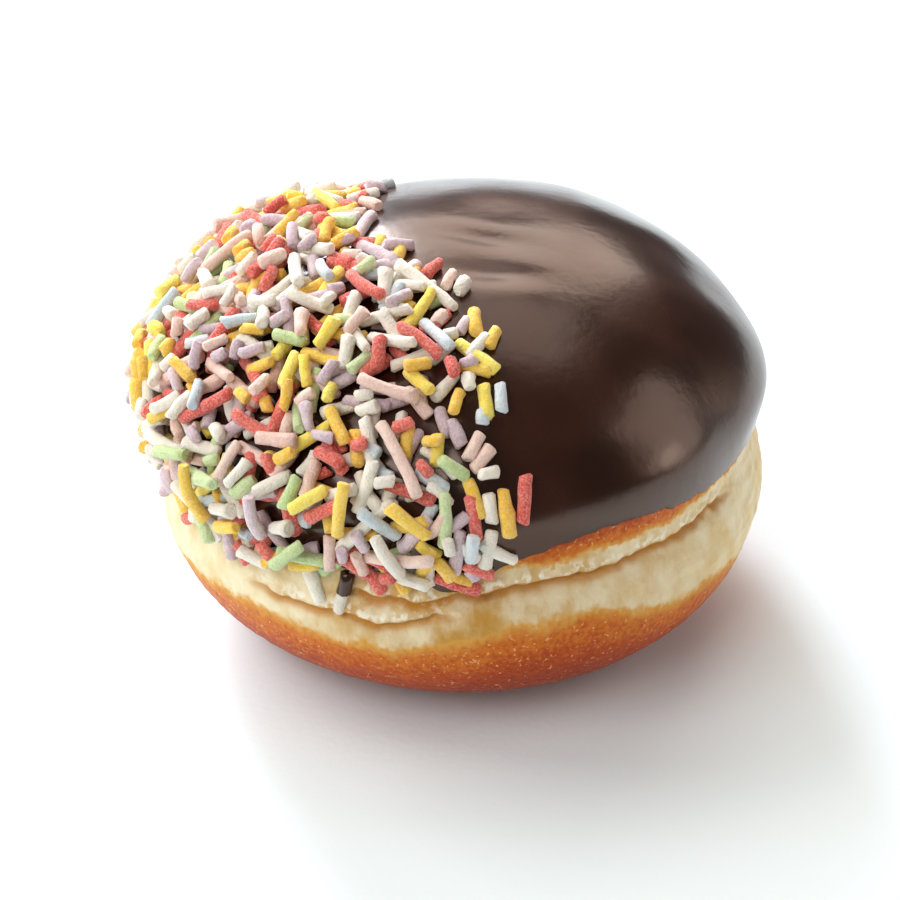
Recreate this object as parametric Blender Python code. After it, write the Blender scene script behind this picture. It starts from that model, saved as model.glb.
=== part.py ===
"""A round filled doughnut without a hole, under a coat of chocolate with sugar strands on its left half.

Metres, +Z up. The origin is the middle of the flat spot that the doughnut rests on, and -Y is its front.
A place on the doughnut is given by two angles seen from its heart, a point on the centre line: a bearing,
which is 0 at the front and grows towards the right (+X), and a rise above the level of the heart.
"""

from collections import namedtuple

import bmesh
import bpy
import numpy as np

OBJECT_NAME = "chocolate_glazed_doughnut"

# Dough: an oval crown and an oval base that meet at the level of the heart
HEART_HEIGHT = 0.0246
HALF_WIDTH = 0.0430
CROWN_HEIGHT = 0.0306
CROWN_FULLNESS = 2.22
BASE_HEIGHT = 0.0255
BASE_FULLNESS = 2.8

# Waist: the shallow pinch round the doughnut, just under the edge of the chocolate
WAIST_LEVEL = 0.0289
WAIST_DEPTH = 0.0026
WAIST_WIDTH = 0.0056

# Waves of the outline seen from above: how many round the doughnut, where one peaks, and its share
Wave = namedtuple("Wave", "count peak_bearing share")
WAVES = (Wave(2, -55.0, 0.006), Wave(3, 25.0, 0.005))

# Swells and dents of the crown: place and spread in degrees, height in metres
Swell = namedtuple("Swell", "bearing rise spread height")
SWELLS = (
    Swell(-168.0, 50.0, 12.0, -0.0006),
    Swell(150.0, 72.0, 10.0, -0.0004),
    Swell(48.0, 80.0, 9.0, -0.0004),
    Swell(115.0, 36.0, 9.0, 0.0005),
    Swell(98.0, 30.0, 7.0, -0.0004),
    Swell(62.0, 20.0, 8.0, -0.0004),
    Swell(88.0, 17.0, 15.0, 0.0009),
    Swell(20.0, 45.0, 16.0, 0.0004),
    Swell(-135.0, 38.0, 20.0, -0.0005),
    Swell(-45.0, 25.0, 14.0, -0.0004),
)

# Creases where the soft dough folded as it swelled: degrees round the doughnut, heights and depth in metres
Crease = namedtuple("Crease", "start end climb_start climb_end low high depth")
CREASES = (
    Crease(-27.0, 68.0, -12.0, 14.0, 0.0249, 0.0270, 0.0010),
    Crease(-46.0, 2.0, -11.0, -2.0, 0.0216, 0.0236, 0.0008),
    Crease(95.0, 170.0, 100.0, 165.0, 0.0260, 0.0240, 0.0008),
    Crease(-172.0, -118.0, -165.0, -125.0, 0.0245, 0.0265, 0.0008),
)
CREASE_WIDTH = 0.0014
CREASE_FADE = 9.0

# Chocolate coat
COAT_GAP = 0.0003
COAT_THICKNESS = 0.0012
LIP_THICKNESS = 0.0007
LIP_THINNING = 0.10
EDGE_LEVEL = 0.0284
EDGE_TILT = 0.0033
EDGE_HIGH_BEARING = 55.0
EDGE_ROUNDS = 4

# Drips of the coat's lower edge, and one scallop, which has a negative drop: degrees, and drop in metres
Drip = namedtuple("Drip", "bearing spread drop")
DRIPS = (
    Drip(-1.5, 7.0, 0.0032),
    Drip(27.0, 20.0, -0.0033),
    Drip(92.0, 11.0, 0.0020),
    Drip(-45.0, 12.0, 0.0023),
    Drip(-88.0, 8.0, 0.0018),
    Drip(130.0, 10.0, 0.0020),
    Drip(175.0, 8.0, 0.0016),
    Drip(-150.0, 9.0, 0.0025),
)

# Field of the strands: its right border runs slanting over the crown, with one slow wave
BORDER_MIDDLE = -0.0055
BORDER_SLANT = -0.37
BORDER_WAVE = 0.0035
BORDER_WAVE_LENGTH = 0.042
BORDER_WAVE_START = -0.017
BORDER_FADE = 0.006

# Bed of the strands: the heap's lower layer, which stands out from the coat as one body
BED_DEPTH = 0.0018
BED_BORDER = 0.003
BED_FADE = 0.014
BED_FRONT_SHARE = 0.35
BED_FRONT_BEARING = -25.0
BED_LEFT_BEARING = -85.0
BED_EDGE_RISE = 13.0

# Strands of the heap's upper layer: one is tried on each plot of the dome, and its bow is a share of its length
STRAND_SEED = 41
STRAND_PLOT = 0.0000215
STRAND_JITTER = 0.0010
STRAND_SIDES = 6
STRAND_RADIUS = (0.00082, 0.00098)
STRAND_LENGTH = (0.0044, 0.0074)
LONG_STRAND_LENGTH = (0.0082, 0.0122)
LONG_STRAND_SHARE = 0.14
STRAND_BOW = 0.035
STRAND_SINK = 0.00028
STRAND_HANG = 0.0022
BENT_FROM = 0.0072

# Landing: how high strands may rest on the coat, thin at the border of the field and piled up inside it
SINGLE_REST = 0.0012
HIGHEST_REST = 0.0024
PILING_START = 0.004
PILING_END = 0.014
LOWEST_LANDING = -5.0
LANDING_STEPS = 400
LANDING_BEARING = -90.0
CROWDED_TOP = 0.3

# Settling: how finely a strand is tried against the heap, along its line, across it and by its slope
SAMPLE_STEP = 0.0003
FEWEST_SAMPLES = 6
ANGLE_STEP = 0.002
SLOPES = np.linspace(-0.35, 0.35, 15)
ACROSS = np.array((-0.8, -0.4, 0.0, 0.4, 0.8))

# Lone strands along the border of the field, laid by hand: place and heading in degrees, length in metres
Lone = namedtuple("Lone", "bearing rise heading length")
LONE_RADIUS = 0.0009
LONE_STRANDS = (
    Lone(11.5, 22.0, 80.0, 0.0066),
    Lone(8.0, 20.0, 95.0, 0.0066),
    Lone(5.0, 21.0, 95.0, 0.0040),
    Lone(2.0, 19.5, 97.0, 0.0058),
    Lone(-0.5, 24.5, 94.0, 0.0052),
    Lone(9.5, 40.5, 86.0, 0.0042),
    Lone(7.5, 35.0, 100.0, 0.0040),
    Lone(4.0, 29.5, 50.0, 0.0040),
    Lone(7.5, 8.5, 90.0, 0.0046),
    Lone(4.5, 14.0, 80.0, 0.0058),
    Lone(-1.0, 13.5, 84.0, 0.0070),
    Lone(-6.5, 11.0, 70.0, 0.0066),
    Lone(-3.0, 8.0, 90.0, 0.0044),
    Lone(4.5, 49.5, 135.0, 0.0070),
    Lone(5.0, 58.5, 90.0, 0.0044),
    Lone(10.5, 56.5, 30.0, 0.0040),
    Lone(-1.5, 34.0, 115.0, 0.0040),
    Lone(-5.5, 31.0, 90.0, 0.0042),
    Lone(-2.5, 39.5, 95.0, 0.0046),
    Lone(-10.0, 23.5, 165.0, 0.0072),
    Lone(-14.0, 26.5, 12.0, 0.0056),
    Lone(-17.5, 17.0, 50.0, 0.0115),
    Lone(-12.0, 32.0, 90.0, 0.0046),
    Lone(-22.0, 29.5, 110.0, 0.0050),
)

# Relief chart of the heap: a flat chart of the dome round its top, in degrees
CHART_REACH = 115.0
CHART_CELL = 0.45
CHART_SPARE = 2

# Mesh rings, counted from the top: the crown, the flank to the coat's edge, the bare band and the base
SEGMENTS = 48
CROWN_RINGS = 6
CROWN_RISE = 27.0
FLANK_RINGS = 6
BAND_RINGS = 15
BAND_RISE = -16.0
BASE_RINGS = 7
FLAT_RISE = -56.0
COAT_RINGS = 15
LIP_OVERHANG = 0.008
LIP_MIDDLE = 0.5

DOUGH_COLOUR = (0.72, 0.46, 0.20, 1.0)
DOUGH_ROUGHNESS = 0.75
CHOCOLATE_COLOUR = (0.030, 0.011, 0.006, 1.0)
CHOCOLATE_ROUGHNESS = 0.22
SMOOTH_ANGLE = np.radians(40.0)


def hump(value, middle, width):
    """A smooth bump of height 1 at the middle."""
    return np.exp(-(((value - middle) / width) ** 2))


def ease(value, start, end):
    """A smooth climb from 0 at the start to 1 at the end."""
    share = np.clip((value - start) / (end - start), 0.0, 1.0)
    return share * share * (3.0 - 2.0 * share)


def turn_between(bearing, middle):
    """The signed angle in degrees from a middle bearing, the short way round."""
    return (np.degrees(bearing) - middle + 180.0) % 360.0 - 180.0


def direction(bearing, rise):
    """Unit vectors from the heart, one row for each pair of angles in radians."""
    level = np.cos(rise)
    return np.stack((level * np.sin(bearing), -level * np.cos(bearing), np.sin(rise)), axis=-1)


def angles(points):
    """Bearing and rise in radians of points, seen from the heart."""
    x, y, z = points[..., 0], points[..., 1], points[..., 2] - HEART_HEIGHT
    return np.arctan2(x, -y), np.arctan2(z, np.hypot(x, y))


def oval(rise, width, height, fullness):
    """How far a full oval reaches from its centre at a rise."""
    level = (np.abs(np.cos(rise)) / width) ** fullness
    upright = (np.abs(np.sin(rise)) / height) ** fullness
    return (level + upright) ** (-1.0 / fullness)


def crease_depth(bearing, level):
    """How deep the creases cut the dough at a bearing and a level above the floor."""
    turn = np.degrees(bearing)
    depth = np.zeros(np.broadcast(bearing, level).shape)
    for crease in CREASES:
        climb = ease(turn, crease.climb_start, crease.climb_end)
        middle = crease.low + (crease.high - crease.low) * climb
        ends = ease(turn, crease.start, crease.start + CREASE_FADE)
        ends = ends * (1.0 - ease(turn, crease.end - CREASE_FADE, crease.end))
        depth = depth + crease.depth * ends * hump(level, middle, CREASE_WIDTH)
    return depth


def dough_reach(bearing, rise):
    """Distance from the heart to the skin of the dough."""
    crown = oval(rise, HALF_WIDTH, CROWN_HEIGHT, CROWN_FULLNESS)
    base = oval(rise, HALF_WIDTH, BASE_HEIGHT, BASE_FULLNESS)
    reach = np.where(rise > 0.0, crown, base)
    side = np.cos(rise) ** 2
    for wave in WAVES:
        turn = np.radians(wave.count * turn_between(bearing, wave.peak_bearing))
        reach = reach * (1.0 + side * wave.share * np.cos(turn))
    level = HEART_HEIGHT + reach * np.sin(rise)
    reach = reach - WAIST_DEPTH * hump(level, WAIST_LEVEL, WAIST_WIDTH)
    outward = direction(bearing, rise)
    for swell in SWELLS:
        peak = direction(np.radians(swell.bearing), np.radians(swell.rise))
        away = np.degrees(np.arccos(np.clip(outward @ peak, -1.0, 1.0)))
        reach = reach + swell.height * hump(away, 0.0, swell.spread)
    return reach - crease_depth(bearing, level)


def edge_rise(bearing):
    """Rise of the coat's lower edge."""
    high = np.cos(np.radians(turn_between(bearing, EDGE_HIGH_BEARING)))
    level = EDGE_LEVEL + EDGE_TILT * high
    for drip in DRIPS:
        level = level - drip.drop * hump(turn_between(bearing, drip.bearing), 0.0, drip.spread)
    rise = np.zeros_like(level)
    for _ in range(EDGE_ROUNDS):
        rise = np.arcsin((level - HEART_HEIGHT) / dough_reach(bearing, rise))
    return rise


def border_x(y):
    """How far right the strands lie at a distance behind the middle."""
    wave = np.cos(2.0 * np.pi * (y - BORDER_WAVE_START) / BORDER_WAVE_LENGTH)
    return BORDER_MIDDLE + BORDER_SLANT * y + BORDER_WAVE * wave


def bed_depth(bearing, rise, reach):
    """How far the lower layer of the heap stands out from the coat."""
    outward = direction(bearing, rise)
    inside = border_x(reach * outward[..., 1]) - reach * outward[..., 0]
    field = ease(inside, BED_BORDER, BED_BORDER + BED_FADE)
    away = np.abs(turn_between(bearing, BED_FRONT_BEARING))
    front = 1.0 - ease(away, 0.0, BED_FRONT_BEARING - BED_LEFT_BEARING)
    side = 1.0 - (1.0 - BED_FRONT_SHARE) * front
    above_edge = ease(np.degrees(rise - edge_rise(bearing)), 0.0, BED_EDGE_RISE)
    return BED_DEPTH * field * side * above_edge


def coat_reach(bearing, rise):
    """Distance from the heart to the outside of the coat, carried on below its edge."""
    edge = edge_rise(bearing)
    share = (np.pi / 2 - rise) / (np.pi / 2 - edge)
    reach = dough_reach(bearing, rise)
    thinned = ease(share, 1.0 - LIP_THINNING, 1.0)
    thickness = COAT_THICKNESS + (LIP_THICKNESS - COAT_THICKNESS) * thinned
    return reach + COAT_GAP + thickness + bed_depth(bearing, rise, reach)


def coat_point(bearing, rise):
    """Points on the outside of the coat."""
    reach = coat_reach(bearing, rise)
    return direction(bearing, rise) * reach[..., None] + np.array((0.0, 0.0, HEART_HEIGHT))


def chart_cell(points):
    """Row and column on the relief chart of the places above or below points."""
    bearing, rise = angles(points)
    away = 90.0 - np.degrees(rise)
    column = (CHART_REACH + away * np.sin(bearing)) / CHART_CELL
    row = (CHART_REACH - away * np.cos(bearing)) / CHART_CELL
    return row.astype(int), column.astype(int)


class Heap:
    """Strands that settle one by one on the coat and on each other."""

    def __init__(self):
        """Start with a bare coat."""
        cells = int(2 * CHART_REACH / CHART_CELL) + CHART_SPARE
        self.relief = np.zeros((cells, cells))
        self.strands = []

    def settle(self, bearing, rise, heading, length, radius, bow, highest):
        """Lay one strand down, or leave it out where it would lie too high or hang too low."""
        foot = coat_point(bearing, rise)
        along = coat_point(bearing + ANGLE_STEP, rise) - foot
        upward = coat_point(bearing, rise + ANGLE_STEP) - foot
        normal = np.cross(along, upward)
        normal = normal / np.linalg.norm(normal)
        along = along / np.linalg.norm(along)
        side = np.cross(normal, along)
        run = along * np.cos(heading) + side * np.sin(heading)
        across = np.cross(normal, run)
        count = max(int(length / SAMPLE_STEP), FEWEST_SAMPLES)
        places = np.linspace(-0.5, 0.5, count) * length
        curve = bow * length * (1.0 - (2.0 * places / length) ** 2)
        line = foot + places[:, None] * run + curve[:, None] * across
        turn, lift = angles(line)
        hanging = (edge_rise(turn) - lift) * HALF_WIDTH
        if hanging.max() > STRAND_HANG:
            return
        offsets = ACROSS * radius
        spots = line[:, None, :] + offsets[None, :, None] * across
        cell = chart_cell(spots)
        hollow = np.sqrt(radius**2 - offsets**2)
        need = (self.relief[cell] + hollow).max(axis=1)
        rests = (need[None, :] - SLOPES[:, None] * places[None, :]).max(axis=1)
        slope = SLOPES[rests.argmin()]
        rest = rests.min() - STRAND_SINK
        if rest > highest:
            return
        level = rest + slope * places
        self.relief[cell] = np.maximum(self.relief[cell], level[:, None] + hollow)
        centre = coat_point(turn, lift) + level[:, None] * normal
        self.strands.append((centre, across, normal, radius))


def landing_places():
    """Bearing and rise of an even spread of places over the whole dome."""
    rises = np.radians(np.linspace(90.0, LOWEST_LANDING, LANDING_STEPS))
    reach = coat_reach(np.full_like(rises, np.radians(LANDING_BEARING)), rises)
    level, upright = reach * np.cos(rises), reach * np.sin(rises)
    strip = np.hypot(np.diff(level), np.diff(upright))
    area = np.concatenate(((0.0,), np.cumsum(np.pi * strip * (level[1:] + level[:-1]))))
    number = np.arange(int(area[-1] / STRAND_PLOT))
    golden_turn = np.pi * (3.0 - np.sqrt(5.0))
    bearing = (number * golden_turn + np.pi) % (2.0 * np.pi) - np.pi
    return bearing, np.interp((number + 0.5) * STRAND_PLOT, area, rises)


def heap_of_strands():
    """The strands of the upper layer: the lone ones, then the rest, spread evenly over their field."""
    draw = np.random.default_rng(STRAND_SEED)
    heap = Heap()
    for lone in LONE_STRANDS:
        bearing, rise, heading = np.radians((lone.bearing, lone.rise, lone.heading))
        heap.settle(bearing, rise, heading, lone.length, LONE_RADIUS, 0.0, SINGLE_REST)
    bearings, rises = landing_places()
    for place in draw.permutation(len(bearings)):
        jitter = draw.uniform(-1.0, 1.0, 2) * STRAND_JITTER / HALF_WIDTH
        rise = rises[place] + jitter[0]
        bearing = bearings[place] + jitter[1] / max(np.cos(rise), CROWDED_TOP)
        long_one = draw.random() < LONG_STRAND_SHARE
        length = draw.uniform(*(LONG_STRAND_LENGTH if long_one else STRAND_LENGTH))
        radius = draw.uniform(*STRAND_RADIUS)
        heading = draw.uniform(0.0, np.pi)
        bow = draw.uniform(-STRAND_BOW, STRAND_BOW)
        chance = draw.random()
        point = coat_point(bearing, rise)
        inside = border_x(point[1]) - point[0]
        highest = SINGLE_REST + (HIGHEST_REST - SINGLE_REST) * ease(inside, PILING_START, PILING_END)
        if rise > edge_rise(bearing) and chance < ease(inside, 0.0, BORDER_FADE):
            heap.settle(bearing, rise, heading, length, radius, bow, highest)
    return heap.strands


def new_material(name, colour, roughness):
    """A plain glossy or matt material."""
    material = bpy.data.materials.new(name)
    material.use_nodes = True
    shader = material.node_tree.nodes["Principled BSDF"]
    shader.inputs["Base Color"].default_value = colour
    shader.inputs["Roughness"].default_value = roughness
    shader.inputs["Metallic"].default_value = 0.0
    return material


def new_object(name, mesh, collection, material=None):
    """An object at the origin in a collection."""
    piece = bpy.data.objects.new(name, mesh)
    collection.objects.link(piece)
    if material:
        mesh.materials.append(material)
    return piece


def ball_mesh(name, rings, place):
    """A ball whose vertices are put in place by ring number, counted from the top, and bearing."""
    form = bmesh.new()
    bmesh.ops.create_uvsphere(form, u_segments=SEGMENTS, v_segments=rings, radius=1.0)
    unit = np.array([vertex.co[:] for vertex in form.verts])
    ring = np.rint(np.arccos(np.clip(unit[:, 2], -1.0, 1.0)) / np.pi * rings)
    bearing = np.arctan2(unit[:, 0], -unit[:, 1])
    for vertex, point in zip(form.verts, place(ring, bearing)):
        vertex.co = point
    bmesh.ops.triangulate(form, faces=form.faces, quad_method="SHORT_EDGE")
    mesh = bpy.data.meshes.new(name)
    form.to_mesh(mesh)
    form.free()
    return mesh


def covered_rise(ring, edge):
    """Rise of a ring on the dough under the coat, from the top down to the coat's edge."""
    crown = np.interp(ring, (0, CROWN_RINGS), np.radians((90.0, CROWN_RISE)))
    flank = np.clip((ring - CROWN_RINGS) / FLANK_RINGS, 0.0, 1.0)
    return crown + flank * (edge - np.radians(CROWN_RISE))


def place_dough(ring, bearing):
    """Points on the dough, flat where it rests."""
    covered = CROWN_RINGS + FLANK_RINGS
    band = covered + BAND_RINGS
    base = band + BASE_RINGS
    edge = edge_rise(bearing)
    bare_share = np.clip((ring - covered) / BAND_RINGS, 0.0, 1.0)
    rise = covered_rise(ring, edge) + bare_share * (np.radians(BAND_RISE) - edge)
    low = np.radians(np.interp(ring, (band, base, base + 1), (BAND_RISE, FLAT_RISE, -90.0)))
    rise = np.where(ring > band, low, rise)
    points = direction(bearing, rise) * dough_reach(bearing, rise)[:, None]
    points[:, 2] = np.maximum(points[:, 2] + HEART_HEIGHT, 0.0)
    return points


def place_coat(ring, bearing):
    """Points on the coat, a ball whose lower half is folded up inside the upper half."""
    edge = edge_rise(bearing)
    lip = COAT_RINGS + 1
    share = np.where(ring == lip, 1.0 + LIP_OVERHANG, ring / COAT_RINGS)
    outside = np.pi / 2 + share * (edge - np.pi / 2)
    inside = covered_rise(lip + 1 + CROWN_RINGS + FLANK_RINGS - ring, edge)
    layer = np.interp(ring, (COAT_RINGS, lip, lip + 1), (1.0, LIP_MIDDLE, 0.0))
    rise = np.where(ring > lip, inside, outside)
    inner = dough_reach(bearing, rise) + COAT_GAP
    reach = inner + layer * (coat_reach(bearing, rise) - inner)
    points = direction(bearing, rise) * reach[:, None]
    points[:, 2] += HEART_HEIGHT
    return points


def strand_mesh(name, strand):
    """A six-sided rod laid along the line of one strand, with a bend in the middle of a long one."""
    centre, across, normal, radius = strand
    length = np.linalg.norm(centre[-1] - centre[0])
    form = bmesh.new()
    bmesh.ops.create_cone(
        form, cap_ends=True, segments=STRAND_SIDES, radius1=radius, radius2=radius, depth=1.0
    )
    if length > BENT_FROM:
        whole = form.verts[:] + form.edges[:] + form.faces[:]
        bmesh.ops.bisect_plane(form, geom=whole, plane_co=(0.0, 0.0, 0.0), plane_no=(0.0, 0.0, 1.0))
    for vertex in form.verts:
        sample = round((vertex.co.z + 0.5) * (len(centre) - 1))
        vertex.co = centre[sample] + vertex.co.x * across + vertex.co.y * normal
    bmesh.ops.recalc_face_normals(form, faces=form.faces)
    mesh = bpy.data.meshes.new(name)
    form.to_mesh(mesh)
    form.free()
    return mesh


def keep_main_body(mesh):
    """Drop sealed hollows and loose scraps, which are the bodies with fewer faces."""
    form = bmesh.new()
    form.from_mesh(mesh)
    unseen = set(form.faces)
    bodies = []
    while unseen:
        stack = [unseen.pop()]
        body = []
        while stack:
            face = stack.pop()
            body.append(face)
            for edge in face.edges:
                for neighbour in edge.link_faces:
                    if neighbour in unseen:
                        unseen.remove(neighbour)
                        stack.append(neighbour)
        bodies.append(body)
    bodies.sort(key=len)
    for body in bodies[:-1]:
        bmesh.ops.delete(form, geom=body, context="FACES")
    form.to_mesh(mesh)
    form.free()


def fuse(piece, collection):
    """Join a collection's objects to a piece, and remove them."""
    union = piece.modifiers.new("strands", "BOOLEAN")
    union.operation = "UNION"
    union.operand_type = "COLLECTION"
    union.collection = collection
    union.solver = "EXACT"
    seen = piece.evaluated_get(bpy.context.evaluated_depsgraph_get())
    fused = bpy.data.meshes.new_from_object(seen)
    piece.modifiers.clear()
    piece.data = fused
    for helper in list(collection.objects):
        bpy.data.objects.remove(helper)
    bpy.data.collections.remove(collection)
    keep_main_body(fused)


def new_collection(name):
    """A collection in the scene."""
    collection = bpy.data.collections.new(name)
    bpy.context.scene.collection.children.link(collection)
    return collection


def main():
    """Build the doughnut."""
    for old in list(bpy.data.objects):
        bpy.data.objects.remove(old)
    parts = new_collection(OBJECT_NAME)
    helpers = new_collection("strands")
    dough_finish = new_material("fried_dough", DOUGH_COLOUR, DOUGH_ROUGHNESS)
    coat_finish = new_material("dark_chocolate", CHOCOLATE_COLOUR, CHOCOLATE_ROUGHNESS)
    covered = CROWN_RINGS + FLANK_RINGS
    dough_mesh = ball_mesh("dough", covered + BAND_RINGS + BASE_RINGS + 1, place_dough)
    dough = new_object("dough", dough_mesh, parts, dough_finish)
    coat_mesh = ball_mesh("chocolate_glaze", COAT_RINGS + 2 + covered, place_coat)
    coat = new_object("chocolate_glaze", coat_mesh, parts, coat_finish)
    for number, strand in enumerate(heap_of_strands()):
        name = f"strand_{number:03d}"
        helper = new_object(name, strand_mesh(name, strand), helpers)
        helper.hide_render = True
        helper.display_type = "WIRE"
    fuse(coat, helpers)
    for piece in (dough, coat):
        piece.data.shade_smooth()
        piece.data.set_sharp_from_angle(angle=SMOOTH_ANGLE)


main()
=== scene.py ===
"""Looks of a round filled doughnut under chocolate, with coloured sugar strands on its left half.

Metres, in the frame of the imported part: +Z is up, -Y is the front, and the strands lie on the -X side.
A place on the doughnut is a bearing, 0 at the front and growing towards the right, and a rise above the
doughnut's heart.
"""

import logging
import math
from collections.abc import Sequence
from dataclasses import dataclass, field, replace
from enum import Enum
from functools import partial

import bpy
import numpy as np
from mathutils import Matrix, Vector, noise


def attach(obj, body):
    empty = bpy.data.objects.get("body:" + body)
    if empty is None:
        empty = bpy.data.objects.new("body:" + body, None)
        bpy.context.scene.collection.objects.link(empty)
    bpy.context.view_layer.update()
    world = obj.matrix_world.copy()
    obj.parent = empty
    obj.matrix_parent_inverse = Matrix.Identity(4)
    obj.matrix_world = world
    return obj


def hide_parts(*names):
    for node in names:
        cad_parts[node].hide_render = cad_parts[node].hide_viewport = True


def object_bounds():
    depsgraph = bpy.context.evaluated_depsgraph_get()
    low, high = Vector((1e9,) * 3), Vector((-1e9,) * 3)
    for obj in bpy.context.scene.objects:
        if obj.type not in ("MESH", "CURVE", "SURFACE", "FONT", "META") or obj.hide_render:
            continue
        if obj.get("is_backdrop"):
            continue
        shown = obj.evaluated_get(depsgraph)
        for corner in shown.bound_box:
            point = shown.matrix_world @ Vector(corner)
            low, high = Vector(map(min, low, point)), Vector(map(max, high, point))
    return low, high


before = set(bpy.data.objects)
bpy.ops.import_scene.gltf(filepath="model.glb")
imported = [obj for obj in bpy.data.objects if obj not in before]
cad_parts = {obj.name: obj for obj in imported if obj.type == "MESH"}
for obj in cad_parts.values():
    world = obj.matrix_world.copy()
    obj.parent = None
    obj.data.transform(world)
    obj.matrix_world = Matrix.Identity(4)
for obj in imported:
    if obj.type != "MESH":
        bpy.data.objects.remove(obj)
log = logging.getLogger("doughnut")

BODY = "root"
DOUGH_NODE = "dough"
COAT_NODE = "chocolate_glaze"
MILLIMETRE = 0.001

Socket = bpy.types.NodeSocket
Node = bpy.types.Node
Mesh = bpy.types.Mesh
Material = bpy.types.Material
Piece = bpy.types.Object
Tree = bpy.types.NodeTree
Colour = tuple[int, int, int]
Span = tuple[float, float]


class Sugar(Enum):
    """Colours of the sugar strands."""

    WHITE = "white"
    LILAC = "lilac"
    ROSE = "rose"
    GOLD = "gold"
    LEMON = "lemon"
    RED = "red"
    GREEN = "green"
    BLUE = "blue"


@dataclass(frozen=True)
class Wave:
    """A wave of the outline seen from above.

    Args:
        count: How many waves go round the doughnut.
        peak_bearing: Where one of them peaks, in degrees.
        share: Its height as a share of the width.
    """

    count: int
    peak_bearing: float
    share: float


@dataclass(frozen=True)
class Swell:
    """A round swell of the crown, or a dent where its height is negative.

    Args:
        bearing: Place round the doughnut in degrees.
        rise: Place above the heart in degrees.
        spread: Half width in degrees.
        height: Height in metres.
    """

    bearing: float
    rise: float
    spread: float
    height: float


@dataclass(frozen=True)
class Crease:
    """A crease where the soft dough folded as it swelled, climbing once from a low to a high level.

    Args:
        start: Bearing of its left end in degrees.
        end: Bearing of its right end in degrees.
        climb_start: Bearing where it starts to climb.
        climb_end: Bearing where it stops.
        low: Level above the floor before the climb, in metres.
        high: Level after it.
        depth: Depth in metres.
    """

    start: float
    end: float
    climb_start: float
    climb_end: float
    low: float
    high: float
    depth: float


@dataclass(frozen=True)
class Drip:
    """A drip of the chocolate's lower edge, or a scallop where its drop is negative.

    Args:
        bearing: Place in degrees.
        spread: Half width in degrees.
        drop: How far it hangs below the edge, in metres.
    """

    bearing: float
    spread: float
    drop: float


@dataclass(frozen=True)
class Dent:
    """A long shallow dent in the chocolate, or a ridge where its depth is negative.

    Args:
        bearing: Place of its middle in degrees.
        rise: Place of its middle above the heart in degrees.
        heading: Direction of its length seen from above, 0 to the right and 90 to the back.
        length: Half length in degrees.
        width: Half width in degrees.
        depth: Depth in metres.
    """

    bearing: float
    rise: float
    heading: float
    length: float
    width: float
    depth: float


@dataclass(frozen=True)
class Lone:
    """A strand laid at a given place.

    Args:
        bearing: Place of its middle in degrees.
        rise: Place of its middle above the heart in degrees.
        heading: Direction of its length, 0 along the bearing and 90 upwards.
        length: Length in metres.
        sugar: Its colour.
    """

    bearing: float
    rise: float
    heading: float
    length: float
    sugar: Sugar


@dataclass
class Strand:
    """A strand in its place.

    Args:
        line: Points along its middle, in metres.
        radius: Radius in metres.
        sugar: Its colour.
    """

    line: np.ndarray
    radius: float
    sugar: Sugar


def hump(value: np.ndarray, middle: float, width: float) -> np.ndarray:
    """A smooth bump that is 1 at its middle and about a third at its width from there."""
    return np.exp(-(((value - middle) / width) ** 2))


def ease(value: np.ndarray, start: float, end: float) -> np.ndarray:
    """A smooth climb from 0 at its start to 1 at its end."""
    share = np.clip((value - start) / (end - start), 0.0, 1.0)
    return share * share * (3.0 - 2.0 * share)


def turn_between(bearing: np.ndarray, middle: float) -> np.ndarray:
    """The signed angle in degrees to bearings in radians from a middle one in degrees, the short way."""
    return (np.degrees(bearing) - middle + 180.0) % 360.0 - 180.0


def direction(bearing: np.ndarray, rise: np.ndarray) -> np.ndarray:
    """Unit vectors from the heart for bearings and rises in radians."""
    level = np.cos(rise)
    return np.stack((level * np.sin(bearing), -level * np.cos(bearing), np.sin(rise)), axis=-1)


def level_ring(bearing: np.ndarray, radius: float) -> np.ndarray:
    """Points of a level circle, where the noise along an edge or a crease is read."""
    return np.stack((np.cos(bearing), np.sin(bearing), np.zeros_like(bearing)), axis=-1) * radius


def ripple(points: np.ndarray, size: float | Sequence[float], seed: float) -> np.ndarray:
    """Smooth noise in space.

    Args:
        points: Points in metres.
        size: Size of its lumps in metres, the same every way or one for each axis.
        seed: Shifts it to another place.

    Returns:
        A value between -1 and 1 for each point.
    """
    moved = (points / np.array(size) + seed).reshape(-1, 3)
    values = np.array([noise.noise(place) for place in moved.tolist()])
    return values.reshape(points.shape[:-1])


def keep_values(mesh: Mesh, values: dict[str, np.ndarray]) -> None:
    """Keep named values at the vertices of a mesh."""
    for key, rows in values.items():
        attribute = mesh.attributes.new(key, "FLOAT", "POINT")
        attribute.data.foreach_set("value", rows.astype(np.float32))


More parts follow.
